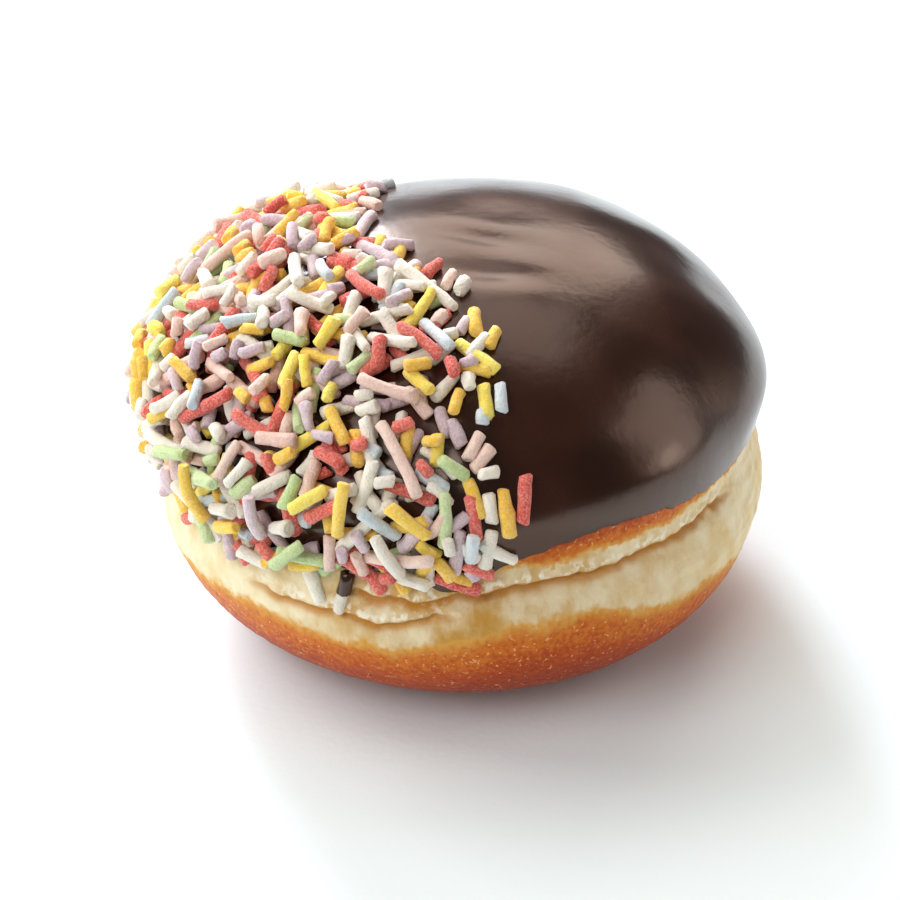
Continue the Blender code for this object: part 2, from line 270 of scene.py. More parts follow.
def closed_grid(name: str, points: np.ndarray, values: dict[str, np.ndarray]) -> Mesh:
    """A closed skin through rings of points.

    Args:
        name: Name of the mesh.
        points: Points by ring and by column. The first ring is one point over and over, and so is the last.
        values: Named values at the points, kept as attributes.

    Returns:
        The mesh, smooth shaded.
    """
    rings, columns = points.shape[:2]

    def gathered(rows: np.ndarray) -> np.ndarray:
        """Rows in the order of the vertices, with one for each pole."""
        inner = rows[1:-1].reshape(-1, *rows.shape[2:])
        return np.concatenate((rows[0, :1], inner, rows[-1, :1]))

    column = np.arange(columns)
    after = (column + 1) % columns
    last = (rings - 2) * columns + 1
    start = (np.arange(rings - 3) * columns + 1)[:, None]
    corners = (start + column, start + columns + column, start + columns + after, start + after)
    quads = np.stack(corners, axis=-1).reshape(-1, 4)
    low = last - columns
    top = np.stack((np.zeros(columns, int), 1 + column, 1 + after), axis=-1)
    bottom = np.stack((low + column, np.full(columns, last), low + after), axis=-1)
    mesh = bpy.data.meshes.new(name)
    mesh.from_pydata(gathered(points).tolist(), [], top.tolist() + quads.tolist() + bottom.tolist())
    keep_values(mesh, {key: gathered(rows) for key, rows in values.items()})
    mesh.shade_smooth()
    return mesh


def new_piece(mesh: Mesh, materials: Sequence[Material] = ()) -> Piece:
    """An object at the origin for a mesh.

    Args:
        mesh: Its mesh.
        materials: Its materials.

    Returns:
        The object, in the scene.
    """
    piece = bpy.data.objects.new(mesh.name, mesh)
    bpy.context.scene.collection.objects.link(piece)
    for material in materials:
        mesh.materials.append(material)
    return piece


def linear(colour: Colour) -> tuple[float, float, float, float]:
    """A colour as a shader wants it.

    Args:
        colour: Red, green and blue from 0 to 255, as on a screen.

    Returns:
        Linear red, green, blue and a full alpha.
    """
    low, slope, offset, power = 0.04045, 12.92, 0.055, 2.4

    def bent(part: int) -> float:
        """One part of the colour, from 0 to 1."""
        share = part / 255.0
        return share / slope if share <= low else ((share + offset) / (1.0 + offset)) ** power

    red, green, blue = colour
    return (bent(red), bent(green), bent(blue), 1.0)


def put_input(tree: Tree, socket: Socket, value: object) -> None:
    """Set a node's input to a value, or join it to a socket.

    Args:
        tree: The node's tree.
        socket: The input.
        value: A value or another node's output.
    """
    if isinstance(value, Socket):
        tree.links.new(value, socket)
    else:
        socket.default_value = value


def add_node(tree: Tree, kind: str, inputs: dict | None = None, **settings: object) -> Node:
    """Add a node to a tree.

    Args:
        tree: The tree.
        kind: Type of the node.
        inputs: Values or sockets for its inputs, by name or number.
        settings: Its own settings.

    Returns:
        The node.
    """
    node = tree.nodes.new(kind)
    for key, value in settings.items():
        setattr(node, key, value)
    for key, value in (inputs or {}).items():
        put_input(tree, node.inputs[key], value)
    return node


class Palette:
    """Adds and joins the nodes of one material."""

    def __init__(self, name: str) -> None:
        """Start a material with its Principled shader."""
        self.material = bpy.data.materials.new(name)
        self.material.use_nodes = True
        self.tree = self.material.node_tree
        self.shader = self.tree.nodes["Principled BSDF"]
        self.add = partial(add_node, self.tree)
        self.place = self.add("ShaderNodeTexCoord").outputs["Object"]

    def result(self, operation: str, first: object, second: object, clamp: bool = False) -> Socket:
        """The result of an operation on two numbers, kept between 0 and 1 where it is clamped."""
        inputs = {0: first, 1: second}
        return self.add("ShaderNodeMath", inputs, operation=operation, use_clamp=clamp).outputs[0]

    def plus(self, first: object, second: object, clamp: bool = False) -> Socket:
        """The sum of two numbers."""
        return self.result("ADD", first, second, clamp)

    def minus(self, first: object, second: object, clamp: bool = False) -> Socket:
        """The difference of two numbers."""
        return self.result("SUBTRACT", first, second, clamp)

    def times(self, first: object, second: object) -> Socket:
        """The product of two numbers."""
        return self.result("MULTIPLY", first, second)

    def larger(self, first: object, second: object) -> Socket:
        """The larger of two numbers."""
        return self.result("MAXIMUM", first, second)

    def cloud(self, size: float, detail: float = 2.0, squash: Sequence[float] = (1, 1, 1)) -> Socket:
        """Noise between 0 and 1.

        Args:
            size: Size of its lumps in metres.
            detail: How many finer layers it has.
            squash: How much narrower its lumps are along each axis.

        Returns:
            The noise.
        """
        place = self.add("ShaderNodeMapping", {"Vector": self.place, "Scale": squash}).outputs[0]
        inputs = {"Vector": place, "Scale": 1.0 / size, "Detail": detail}
        return self.add("ShaderNodeTexNoise", inputs).outputs["Fac"]

    def drift(self, share: float, cloud: Socket) -> Socket:
        """Noise that swings round 0, as a share of its full height."""
        return self.times(self.minus(cloud, 0.5), share)

    def value(self, name: str) -> Socket:
        """A named value of the mesh."""
        return self.add("ShaderNodeAttribute", attribute_name=name).outputs["Fac"]

    def between(self, value: object, span: Span, to: Span = (0.0, 1.0)) -> Socket:
        """A smooth climb from one end of a span to the other as a value crosses another span."""
        inputs = {"Value": value, "From Min": span[0], "From Max": span[1], "To Min": to[0], "To Max": to[1]}
        return self.add("ShaderNodeMapRange", inputs, interpolation_type="SMOOTHSTEP").outputs[0]

    def ramp(self, value: Socket, stops: Sequence[tuple[float, Colour]]) -> Socket:
        """Colours in order along a value.

        Args:
            value: A value from 0 to 1.
            stops: Places along it with their colours.

        Returns:
            The colour.
        """
        node = self.add("ShaderNodeValToRGB", {"Fac": value})
        elements = node.color_ramp.elements
        while len(elements) < len(stops):
            elements.new(1.0)
        for element, (place, colour) in zip(elements, stops):
            element.position = place
            element.color = linear(colour)
        return node.outputs["Color"]

    def blend(self, share: object, first: object, second: object) -> Socket:
        """A mix of two colours.

        Args:
            share: Share of the second.
            first: A colour or a socket.
            second: A colour or a socket.

        Returns:
            The mix.
        """
        node = self.add("ShaderNodeMix", {0: share}, data_type="RGBA")
        sockets = [socket for socket in node.inputs if socket.type == "RGBA"]
        for socket, colour in zip(sockets, (first, second)):
            put_input(self.tree, socket, colour if isinstance(colour, Socket) else linear(colour))
        return next(socket for socket in node.outputs if socket.type == "RGBA")

    def bump(self, height: Socket, depth: float, below: Socket | None = None) -> Socket:
        """A bumped normal.

        Args:
            height: Height from 0 to 1.
            depth: Depth of the bumps in metres.
            below: A normal to add it to.

        Returns:
            The normal.
        """
        inputs = {"Strength": 1.0, "Distance": depth, "Height": height}
        if below:
            inputs["Normal"] = below
        return self.add("ShaderNodeBump", inputs).outputs[0]

    def finish(self, **inputs: object) -> Material:
        """Set the shader's inputs, with _ for each space in a name, and give the material."""
        for key, value in inputs.items():
            put_input(self.tree, self.shader.inputs[key.replace("_", " ")], value)
        return self.material


@dataclass(frozen=True)
class DoughFinish:
    """Fried dough: a pale band between golden-brown crusts.

    Colours are red, green and blue from 0 to 255, and sizes are in metres. The value of a crust is how far a
    place lies past its line, in millimetres.
    """

    name: str = "fried_dough"
    pale: Colour = (240, 226, 190)
    tan: Colour = (228, 202, 148)
    # Tan for the front of the band, partly the dough's own colour and partly painted shade
    baked_and_shaded: Colour = (198, 147, 68)
    fringe: Colour = (218, 160, 74)
    amber: Colour = (206, 112, 28)
    brown: Colour = (182, 74, 16)
    dark: Colour = (152, 50, 14)
    # Ochre painted shade in the creases
    fold_shade: Colour = (196, 132, 34)
    speck: Colour = (236, 176, 108)
    flake: Colour = (250, 242, 220)
    cloud_size: float = 0.006
    cloud_fray: float = 4.5
    grain_size: float = 0.0009
    grain_fray: float = 2.2
    top_fray: float = 0.8
    base_fade: Span = (-2.2, 3.0)
    top_fade: Span = (-0.9, 1.5)
    top_darkening: float = 2.0
    dark_span: Span = (0.5, 13.0)
    grit_size: float = 0.0007
    grit_share: float = 1.3
    brown_place: float = 0.38
    mottle_size: float = 0.0045
    mottle_squash: tuple[float, float, float] = (1.0, 1.0, 0.5)
    tan_span: Span = (0.35, 0.75)
    baked_and_shaded_span: Span = (0.35, 0.65)
    baked_and_shaded_shares: Span = (0.25, 1.0)
    fringe_span: Span = (0.05, 0.45)
    crust_span: Span = (0.30, 0.95)
    speck_size: float = 0.0006
    speck_span: Span = (0.64, 0.74)
    speck_shares: Span = (0.0, 0.75)
    speck_crust: Span = (0.5, 0.9)
    flake_size: float = 0.0011
    flake_squash: tuple[float, float, float] = (1.0, 1.0, 0.8)
    flake_span: Span = (0.46, 0.60)
    flake_shares: Span = (0.0, 0.9)
    fold_shade_share: float = 0.9
    rough_span: Span = (0.2, 0.9)
    roughness: Span = (0.78, 0.50)
    relief_size: float = 0.0015
    relief_squash: tuple[float, float, float] = (1.0, 1.0, 0.35)
    relief_depth: float = 0.00022
    grain_depth: float = 0.00016
    gloss: float = 0.22
    softness: float = 0.04
    soft_reach: float = 0.0012

    def make(self) -> Material:
        """Build the material.

        Returns:
            The material, which reads the mesh's base_crust, top_crust, fold_shade, flaky and
            baked_and_shaded.
        """
        paint = Palette(self.name)
        grain = paint.cloud(self.grain_size)
        cloud_fray = paint.drift(self.cloud_fray, paint.cloud(self.cloud_size, detail=3.0))
        fray = paint.plus(cloud_fray, paint.drift(self.grain_fray, grain))
        base = paint.plus(paint.value("base_crust"), fray)
        top = paint.plus(paint.value("top_crust"), paint.times(fray, self.top_fray))
        crust = paint.larger(paint.between(base, self.base_fade), paint.between(top, self.top_fade))
        baking = paint.between(paint.larger(base, paint.times(top, self.top_darkening)), self.dark_span)
        grit = paint.drift(self.grit_share, paint.cloud(self.grit_size, detail=3.0))
        baking = paint.plus(baking, grit, clamp=True)
        brown = paint.ramp(baking, ((0.0, self.amber), (self.brown_place, self.brown), (1.0, self.dark)))
        mottle = paint.cloud(self.mottle_size, 4.0, self.mottle_squash)
        cream = paint.blend(paint.between(mottle, self.tan_span), self.pale, self.tan)
        # The front of the band is painted a darker tan, partly its own colour and partly painted shade
        warm = paint.times(paint.value("baked_and_shaded"), paint.between(mottle, self.baked_and_shaded_span, self.baked_and_shaded_shares))
        cream = paint.blend(warm, cream, self.baked_and_shaded)
        fringe = paint.blend(paint.between(crust, self.fringe_span), cream, self.fringe)
        skin = paint.blend(paint.between(crust, self.crust_span), fringe, brown)
        specks = paint.between(paint.cloud(self.speck_size, 1.0), self.speck_span, self.speck_shares)
        specks = paint.times(specks, paint.between(crust, self.speck_crust))
        skin = paint.blend(specks, skin, self.speck)
        flakes = paint.cloud(self.flake_size, 4.0, self.flake_squash)
        flakes = paint.between(flakes, self.flake_span, self.flake_shares)
        flakes = paint.times(flakes, paint.minus(1.0, crust, clamp=True))
        skin = paint.blend(paint.times(flakes, paint.value("flaky")), skin, self.flake)
        # Painted shade in the creases, in ochre
        skin = paint.blend(paint.times(paint.value("fold_shade"), self.fold_shade_share), skin, self.fold_shade)
        relief = paint.bump(paint.cloud(self.relief_size, 3.0, self.relief_squash), self.relief_depth)
        return paint.finish(
            Base_Color=skin,
            Roughness=paint.between(crust, self.rough_span, self.roughness),
            Normal=paint.bump(grain, self.grain_depth, relief),
            Specular_IOR_Level=self.gloss,
            Subsurface_Weight=self.softness,
            Subsurface_Scale=self.soft_reach,
        )


@dataclass(frozen=True)
class ChocolateFinish:
    """Glossy dark chocolate.

    Colours are red, green and blue from 0 to 255, and sizes are in metres.
    """

    name: str = "dark_chocolate"
    dark: Colour = (33, 11, 5)
    warm: Colour = (50, 20, 10)
    cloud_size: float = 0.012
    warm_span: Span = (0.3, 0.7)
    haze_span: Span = (0.35, 0.7)
    roughness: Span = (0.19, 0.28)
    grain_size: float = 0.0016
    grain_depth: float = 0.00003
    bending: float = 1.69
    sheen_tint: Colour = (255, 228, 210)

    def make(self) -> Material:
        """Build the material.

        Returns:
            The material.
        """
        paint = Palette(self.name)
        warm = paint.between(paint.cloud(self.cloud_size), self.warm_span)
        haze = paint.cloud(self.cloud_size, detail=1.0)
        return paint.finish(
            Base_Color=paint.blend(warm, self.dark, self.warm),
            Roughness=paint.between(haze, self.haze_span, self.roughness),
            Normal=paint.bump(paint.cloud(self.grain_size), self.grain_depth),
            IOR=self.bending,
            Specular_Tint=linear(self.sheen_tint),
        )


@dataclass(frozen=True)
class SugarFinish:
    """Chalky coloured sugar.

    Colours are red, green and blue from 0 to 255, and sizes are in metres. The share is of all
    strewn strands.
    """

    sugar: Sugar
    share: float
    colour: Colour
    deep: Colour
    dust: Colour = (252, 248, 238)
    roughness: float = 0.85
    blotch_size: float = 0.0011
    deep_span: Span = (0.35, 1.25)
    dust_span: Span = (0.42, 0.68)
    dust_shares: Span = (0.0, 0.24)
    grain_size: float = 0.00030
    grain_depth: float = 0.00020
    lump_size: float = 0.0009
    lump_depth: float = 0.00014
    gloss: float = 0.2
    softness: float = 0.10
    soft_reach: float = 0.0005
    sheen: float = 0.25

    def make(self) -> Material:
        """Build the material.

        Returns:
            The material, which reads the mesh's tint.
        """
        paint = Palette(f"sugar_{self.sugar.value}")
        grain = paint.cloud(self.grain_size)
        blotch = paint.plus(paint.cloud(self.blotch_size), paint.value("tint"))
        colour = paint.blend(paint.between(blotch, self.deep_span), self.colour, self.deep)
        dusty = paint.between(grain, self.dust_span, self.dust_shares)
        lumps = paint.bump(paint.cloud(self.lump_size), self.lump_depth)
        return paint.finish(
            Base_Color=paint.blend(dusty, colour, self.dust),
            Roughness=self.roughness,
            Normal=paint.bump(grain, self.grain_depth, lumps),
            Specular_IOR_Level=self.gloss,
            Subsurface_Weight=self.softness,
            Subsurface_Scale=self.soft_reach,
            Sheen_Weight=self.sheen,
        )


SUGAR_FINISHES = (
    SugarFinish(Sugar.WHITE, 0.21, (246, 240, 224), (232, 222, 206)),
    SugarFinish(Sugar.LILAC, 0.14, (224, 202, 206), (198, 172, 180)),
    SugarFinish(Sugar.ROSE, 0.13, (243, 214, 198), (228, 188, 172)),
    SugarFinish(Sugar.GOLD, 0.18, (252, 211, 80), (243, 184, 46)),
    SugarFinish(Sugar.LEMON, 0.06, (252, 232, 100), (246, 210, 56)),
    SugarFinish(Sugar.RED, 0.16, (230, 108, 91), (213, 79, 65)),
    SugarFinish(Sugar.GREEN, 0.07, (211, 225, 172), (184, 206, 134)),
    SugarFinish(Sugar.BLUE, 0.05, (216, 224, 226), (190, 204, 210)),
)


@dataclass(frozen=True)
class PaperFinish:
    """The pale paper that the doughnut stands on."""

    name: str = "pale_paper"
    colour: Colour = (243, 253, 255)
    roughness: float = 0.8
    gloss: float = 0.1
    grain_size: float = 0.0012
    grain_depth: float = 0.00004

    def make(self) -> Material:
        """Build the material.

        Returns:
            The material.
        """
        paint = Palette(self.name)
        return paint.finish(
            Base_Color=linear(self.colour),
            Roughness=self.roughness,
            Normal=paint.bump(paint.cloud(self.grain_size, detail=3.0), self.grain_depth),
            Specular_IOR_Level=self.gloss,
        )


@dataclass(frozen=True)
class DoughForm:
    """The doughnut's body without its fine relief, as in the part's solids.

    Lengths are in metres and angles in degrees.
    """

    heart_height: float = 0.0246
    half_width: float = 0.0430
    crown_height: float = 0.0306
    crown_fullness: float = 2.22
    base_height: float = 0.0255
    base_fullness: float = 2.8
    waist_level: float = 0.0289
    waist_depth: float = 0.0026
    waist_width: float = 0.0056
    crease_width: float = 0.0014
    crease_fade: float = 9.0
    waves: tuple[Wave, ...] = (Wave(2, -55.0, 0.006), Wave(3, 25.0, 0.005))
    swells: tuple[Swell, ...] = (
        Swell(-168.0, 50.0, 12.0, -0.0006),
        Swell(150.0, 72.0, 10.0, -0.0004),
        Swell(48.0, 80.0, 9.0, -0.0004),
        Swell(115.0, 36.0, 9.0, 0.0005),
        Swell(98.0, 30.0, 7.0, -0.0004),
        Swell(62.0, 20.0, 8.0, -0.0004),
        Swell(88.0, 17.0, 15.0, 0.0009),
        Swell(20.0, 45.0, 16.0, 0.0004),
        Swell(-135.0, 38.0, 20.0, -0.0005),
        Swell(-45.0, 25.0, 14.0, -0.0004),
    )
    creases: tuple[Crease, ...] = (
        Crease(-27.0, 68.0, -12.0, 14.0, 0.0249, 0.0270, 0.0010),
        Crease(-46.0, 2.0, -11.0, -2.0, 0.0216, 0.0236, 0.0008),
        Crease(95.0, 170.0, 100.0, 165.0, 0.0260, 0.0240, 0.0008),
        Crease(-172.0, -118.0, -165.0, -125.0, 0.0245, 0.0265, 0.0008),
    )

    def oval(self, rise: np.ndarray, height: float, fullness: float) -> np.ndarray:
        """How far a full oval reaches from the heart at a rise.

        Args:
            rise: Rises in radians.
            height: Its half height.
            fullness: 2 for an ellipse, and more for a fuller one.

        Returns:
            Distances.
        """
        level = (np.abs(np.cos(rise)) / self.half_width) ** fullness
        upright = (np.abs(np.sin(rise)) / height) ** fullness
        return (level + upright) ** (-1.0 / fullness)

    def crease_middle(self, crease: Crease, bearing: np.ndarray) -> tuple[np.ndarray, np.ndarray]:
        """Where a crease runs.

        Args:
            crease: The crease.
            bearing: Bearings in radians.

        Returns:
            Its level at each bearing, and its share of the full depth there.
        """
        turn = np.degrees(bearing)
        climb = ease(turn, crease.climb_start, crease.climb_end)
        ends = ease(turn, crease.start, crease.start + self.crease_fade)
        ends = ends * (1.0 - ease(turn, crease.end - self.crease_fade, crease.end))
        return crease.low + (crease.high - crease.low) * climb, ends

    def crease_depth(self, bearing: np.ndarray, level: np.ndarray) -> np.ndarray:
        """How deep the creases cut the dough.

        Args:
            bearing: Bearings in radians.
            level: Levels above the floor.

        Returns:
            Depths.
        """
        depth = np.zeros(np.broadcast(bearing, level).shape)
        for crease in self.creases:
            middle, ends = self.crease_middle(crease, bearing)
            depth = depth + crease.depth * ends * hump(level, middle, self.crease_width)
        return depth

    def reach(self, bearing: np.ndarray, rise: np.ndarray) -> np.ndarray:
        """Distance from the heart to the skin of the dough.

        Args:
            bearing: Bearings in radians.
            rise: Rises in radians.

        Returns:
            Distances.
        """
        crown = self.oval(rise, self.crown_height, self.crown_fullness)
        base = self.oval(rise, self.base_height, self.base_fullness)
        reach = np.where(rise > 0.0, crown, base)
        side = np.cos(rise) ** 2
        for wave in self.waves:
            turn = np.radians(wave.count * turn_between(bearing, wave.peak_bearing))
            reach = reach * (1.0 + side * wave.share * np.cos(turn))
        level = self.heart_height + reach * np.sin(rise)
        reach = reach - self.waist_depth * hump(level, self.waist_level, self.waist_width)
        outward = direction(bearing, rise)
        for swell in self.swells:
            peak = direction(np.radians(swell.bearing), np.radians(swell.rise))
            away = np.degrees(np.arccos(np.clip(outward @ peak, -1.0, 1.0)))
            reach = reach + swell.height * hump(away, 0.0, swell.spread)
        return reach - self.crease_depth(bearing, level)

    def points(self, bearing: np.ndarray, rise: np.ndarray, reach: np.ndarray) -> np.ndarray:
        """Points at a distance from the heart."""
        return direction(bearing, rise) * reach[..., None] + np.array((0.0, 0.0, self.heart_height))

    def angles(self, points: np.ndarray) -> tuple[np.ndarray, np.ndarray]:
        """Bearing and rise in radians of points, seen from the heart."""
        x, y, z = points[..., 0], points[..., 1], points[..., 2] - self.heart_height
        return np.arctan2(x, -y), np.arctan2(z, np.hypot(x, y))


@dataclass(frozen=True)
class CoatForm:
    """The chocolate coat and the field of the strands, as in the part's solids.

    Lengths are in metres and angles in degrees. A deep coat has the bed, which stands for the heap's lower
    layer.
    """

    dough: DoughForm = DoughForm()
    deep: bool = True
    gap: float = 0.0003
    thickness: float = 0.0012
    lip_thickness: float = 0.0007
    lip_thinning: float = 0.10
    edge_level: float = 0.0284
    edge_tilt: float = 0.0033
    edge_high_bearing: float = 55.0
    edge_rounds: int = 4
    border_middle: float = -0.0055
    border_slant: float = -0.37
    border_wave: float = 0.0035
    border_wave_length: float = 0.042
    border_wave_start: float = -0.017
    bed: float = 0.0018
    bed_border: float = 0.003
    bed_fade: float = 0.014
    bed_front_share: float = 0.35
    bed_front_bearing: float = -25.0
    bed_left_bearing: float = -85.0
    bed_edge_rise: float = 13.0
    drips: tuple[Drip, ...] = (
        Drip(-1.5, 7.0, 0.0032),
        Drip(27.0, 20.0, -0.0033),
        Drip(92.0, 11.0, 0.0020),
        Drip(-45.0, 12.0, 0.0023),
        Drip(-88.0, 8.0, 0.0018),
        Drip(130.0, 10.0, 0.0020),
        Drip(175.0, 8.0, 0.0016),
        Drip(-150.0, 9.0, 0.0025),
    )

    def edge_rise(self, bearing: np.ndarray) -> np.ndarray:
        """Rise of the coat's lower edge.

        Args:
            bearing: Bearings in radians.

        Returns:
            Rises in radians.
        """
        high = np.cos(np.radians(turn_between(bearing, self.edge_high_bearing)))
        level = self.edge_level + self.edge_tilt * high
        for drip in self.drips:
            level = level - drip.drop * hump(turn_between(bearing, drip.bearing), 0.0, drip.spread)
        rise = np.zeros_like(level)
        for _ in range(self.edge_rounds):
            rise = np.arcsin((level - self.dough.heart_height) / self.dough.reach(bearing, rise))
        return rise

    def border_x(self, y: np.ndarray) -> np.ndarray:
        """How far right the strands lie at a distance behind the middle."""
        wave = np.cos(2.0 * np.pi * (y - self.border_wave_start) / self.border_wave_length)
        return self.border_middle + self.border_slant * y + self.border_wave * wave

    def inside(self, bearing: np.ndarray, rise: np.ndarray, reach: np.ndarray) -> np.ndarray:
        """How far inside the border of the field a place is, in metres."""
        outward = direction(bearing, rise)
        return self.border_x(reach * outward[..., 1]) - reach * outward[..., 0]

    def bed_depth(self, bearing: np.ndarray, rise: np.ndarray, reach: np.ndarray) -> np.ndarray:
        """How far the lower layer of the heap stands out from the coat.

        Args:
            bearing: Bearings in radians.
            rise: Rises in radians.
            reach: Distances of the dough's skin from the heart.

        Returns:
            Depths.
        """
        covered = ease(self.inside(bearing, rise, reach), self.bed_border, self.bed_border + self.bed_fade)
        away = np.abs(turn_between(bearing, self.bed_front_bearing))
        front = 1.0 - ease(away, 0.0, self.bed_front_bearing - self.bed_left_bearing)
        side = 1.0 - (1.0 - self.bed_front_share) * front
        above_edge = ease(np.degrees(rise - self.edge_rise(bearing)), 0.0, self.bed_edge_rise)
        return self.bed * covered * side * above_edge

    def reach(self, bearing: np.ndarray, rise: np.ndarray) -> np.ndarray:
        """Distance from the heart to the outside of the coat, carried on below its edge.

        Args:
            bearing: Bearings in radians.
            rise: Rises in radians.

        Returns:
            Distances.
        """
        share = (np.pi / 2 - rise) / (np.pi / 2 - self.edge_rise(bearing))
        skin = self.dough.reach(bearing, rise)
        thinned = ease(share, 1.0 - self.lip_thinning, 1.0)
        thickness = self.thickness + (self.lip_thickness - self.thickness) * thinned
        bed = self.bed_depth(bearing, rise, skin) if self.deep else 0.0
        return skin + self.gap + thickness + bed

    def point(self, bearing: np.ndarray, rise: np.ndarray) -> np.ndarray:
        """Points on the outside of the coat."""
        return self.dough.points(bearing, rise, self.reach(bearing, rise))


@dataclass(frozen=True)
class Throw:
    """One strand before it lands.

    Args:
        foot: Where its middle comes down on the coat.
        along: Unit vector to the right along the coat.
        side: Unit vector up the coat.
        normal: Unit vector out of the coat.
        heading: Direction of its length in radians, 0 along the bearing.
        length: Its length in metres.
        radius: Its radius in metres.
        bow: How far its middle bows out, as a share of its length.
        highest: How high its middle may rest, in metres.
        sugar: Its colour.
    """

    foot: np.ndarray
    along: np.ndarray
    side: np.ndarray
    normal: np.ndarray
    heading: float
    length: float
    radius: float
    bow: float
    highest: float
    sugar: Sugar


@dataclass
class Heap:
    """Strands that settle one by one on a coat and on each other.

    Lengths are in metres and angles in degrees.
    """

    coat: CoatForm
    sink: float = 0.00028
    hang: float = 0.0022
    sample_step: float = 0.0003
    fewest_samples: int = 6
    angle_step: float = 0.002
    steepest: float = 0.35
    slope_count: int = 15
    chart_reach: float = 115.0
    chart_cell: float = 0.45
    chart_spare: int = 2
    across: tuple[float, ...] = (-0.8, -0.4, 0.0, 0.4, 0.8)
    strands: list[Strand] = field(default_factory=list)

    def __post_init__(self) -> None:
        """Start with a bare coat."""
        cells = int(2 * self.chart_reach / self.chart_cell) + self.chart_spare
        self.relief = np.zeros((cells, cells))
        self.slopes = np.linspace(-self.steepest, self.steepest, self.slope_count)

    def cell(self, points: np.ndarray) -> tuple[np.ndarray, np.ndarray]:
        """Where points lie on the relief chart, which is spread out round the top of the dome.

        Args:
            points: Points in metres.

        Returns:
            Rows and columns.
        """
        bearing, rise = self.coat.dough.angles(points)
        away = 90.0 - np.degrees(rise)
        column = (self.chart_reach + away * np.sin(bearing)) / self.chart_cell
        row = (self.chart_reach - away * np.cos(bearing)) / self.chart_cell
        return row.astype(int), column.astype(int)

    def footings(self, bearing: np.ndarray, rise: np.ndarray) -> tuple[np.ndarray, ...]:
        """How the coat lies at places.

        Args:
            bearing: Bearings in radians.
            rise: Rises in radians.

        Returns:
            The points, and the unit vectors to the right, up the coat and out of it.
        """
        foot = self.coat.point(bearing, rise)
        along = self.coat.point(bearing + self.angle_step, rise) - foot
        upward = self.coat.point(bearing, rise + self.angle_step) - foot
        normal = np.cross(along, upward)
        normal = normal / np.linalg.norm(normal, axis=-1, keepdims=True)
        along = along / np.linalg.norm(along, axis=-1, keepdims=True)
        return foot, along, np.cross(normal, along), normal

    def settle(self, throw: Throw) -> None:
        """Lay one strand down, or leave it out where it would lie too high or hang too low.

        Args:
            throw: The strand.
        """
        run = throw.along * np.cos(throw.heading) + throw.side * np.sin(throw.heading)
        across = np.cross(throw.normal, run)
        count = max(int(throw.length / self.sample_step), self.fewest_samples)
        places = np.linspace(-0.5, 0.5, count) * throw.length
        curve = throw.bow * throw.length * (1.0 - (2.0 * places / throw.length) ** 2)
        line = throw.foot + places[:, None] * run + curve[:, None] * across
        offsets = np.array(self.across) * throw.radius
        cell = self.cell(line[:, None, :] + offsets[None, :, None] * across)
        hollow = np.sqrt(throw.radius**2 - offsets**2)
        need = (self.relief[cell] + hollow).max(axis=1)
        rests = (need[None, :] - self.slopes[:, None] * places[None, :]).max(axis=1)
        rest = rests.min() - self.sink
        if rest > throw.highest:
            return
        turn, lift = self.coat.dough.angles(line)
        hanging = (self.coat.edge_rise(turn) - lift) * self.coat.dough.half_width
        if hanging.max() > self.hang:
            return
        level = rest + self.slopes[rests.argmin()] * places
        self.relief[cell] = np.maximum(self.relief[cell], level[:, None] + hollow)
        centre = self.coat.point(turn, lift) + level[:, None] * throw.normal
        self.strands.append(Strand(centre, throw.radius, throw.sugar))


@dataclass(frozen=True)
class Layer:
    """How one layer of strands is strewn.

    Args:
        seed: Seed of its random draws.
        plot: Area of the dome to each try, in square metres.
        lengths: Shortest and longest common strand.
        long_lengths: Shortest and longest long strand.
        long_share: Share of long strands.
        radii: Thinnest and thickest.
        bow: Largest bow, as a share of the length.
        single_rest: How high strands may rest at the border of the field.
        highest_rest: How high they may rest inside it.
        border_fade: How far inside the border the field is full.
        below_bed: Whether the rest is kept under the part's bed.
    """

    seed: int
    plot: float
    lengths: tuple[float, float] = (0.0044, 0.0074)
    long_lengths: tuple[float, float] = (0.0082, 0.0122)
    long_share: float = 0.14
    radii: tuple[float, float] = (0.00082, 0.00098)
    bow: float = 0.035
    single_rest: float = 0.0012
    highest_rest: float = 0.0024
    border_fade: float = 0.006
    below_bed: bool = False


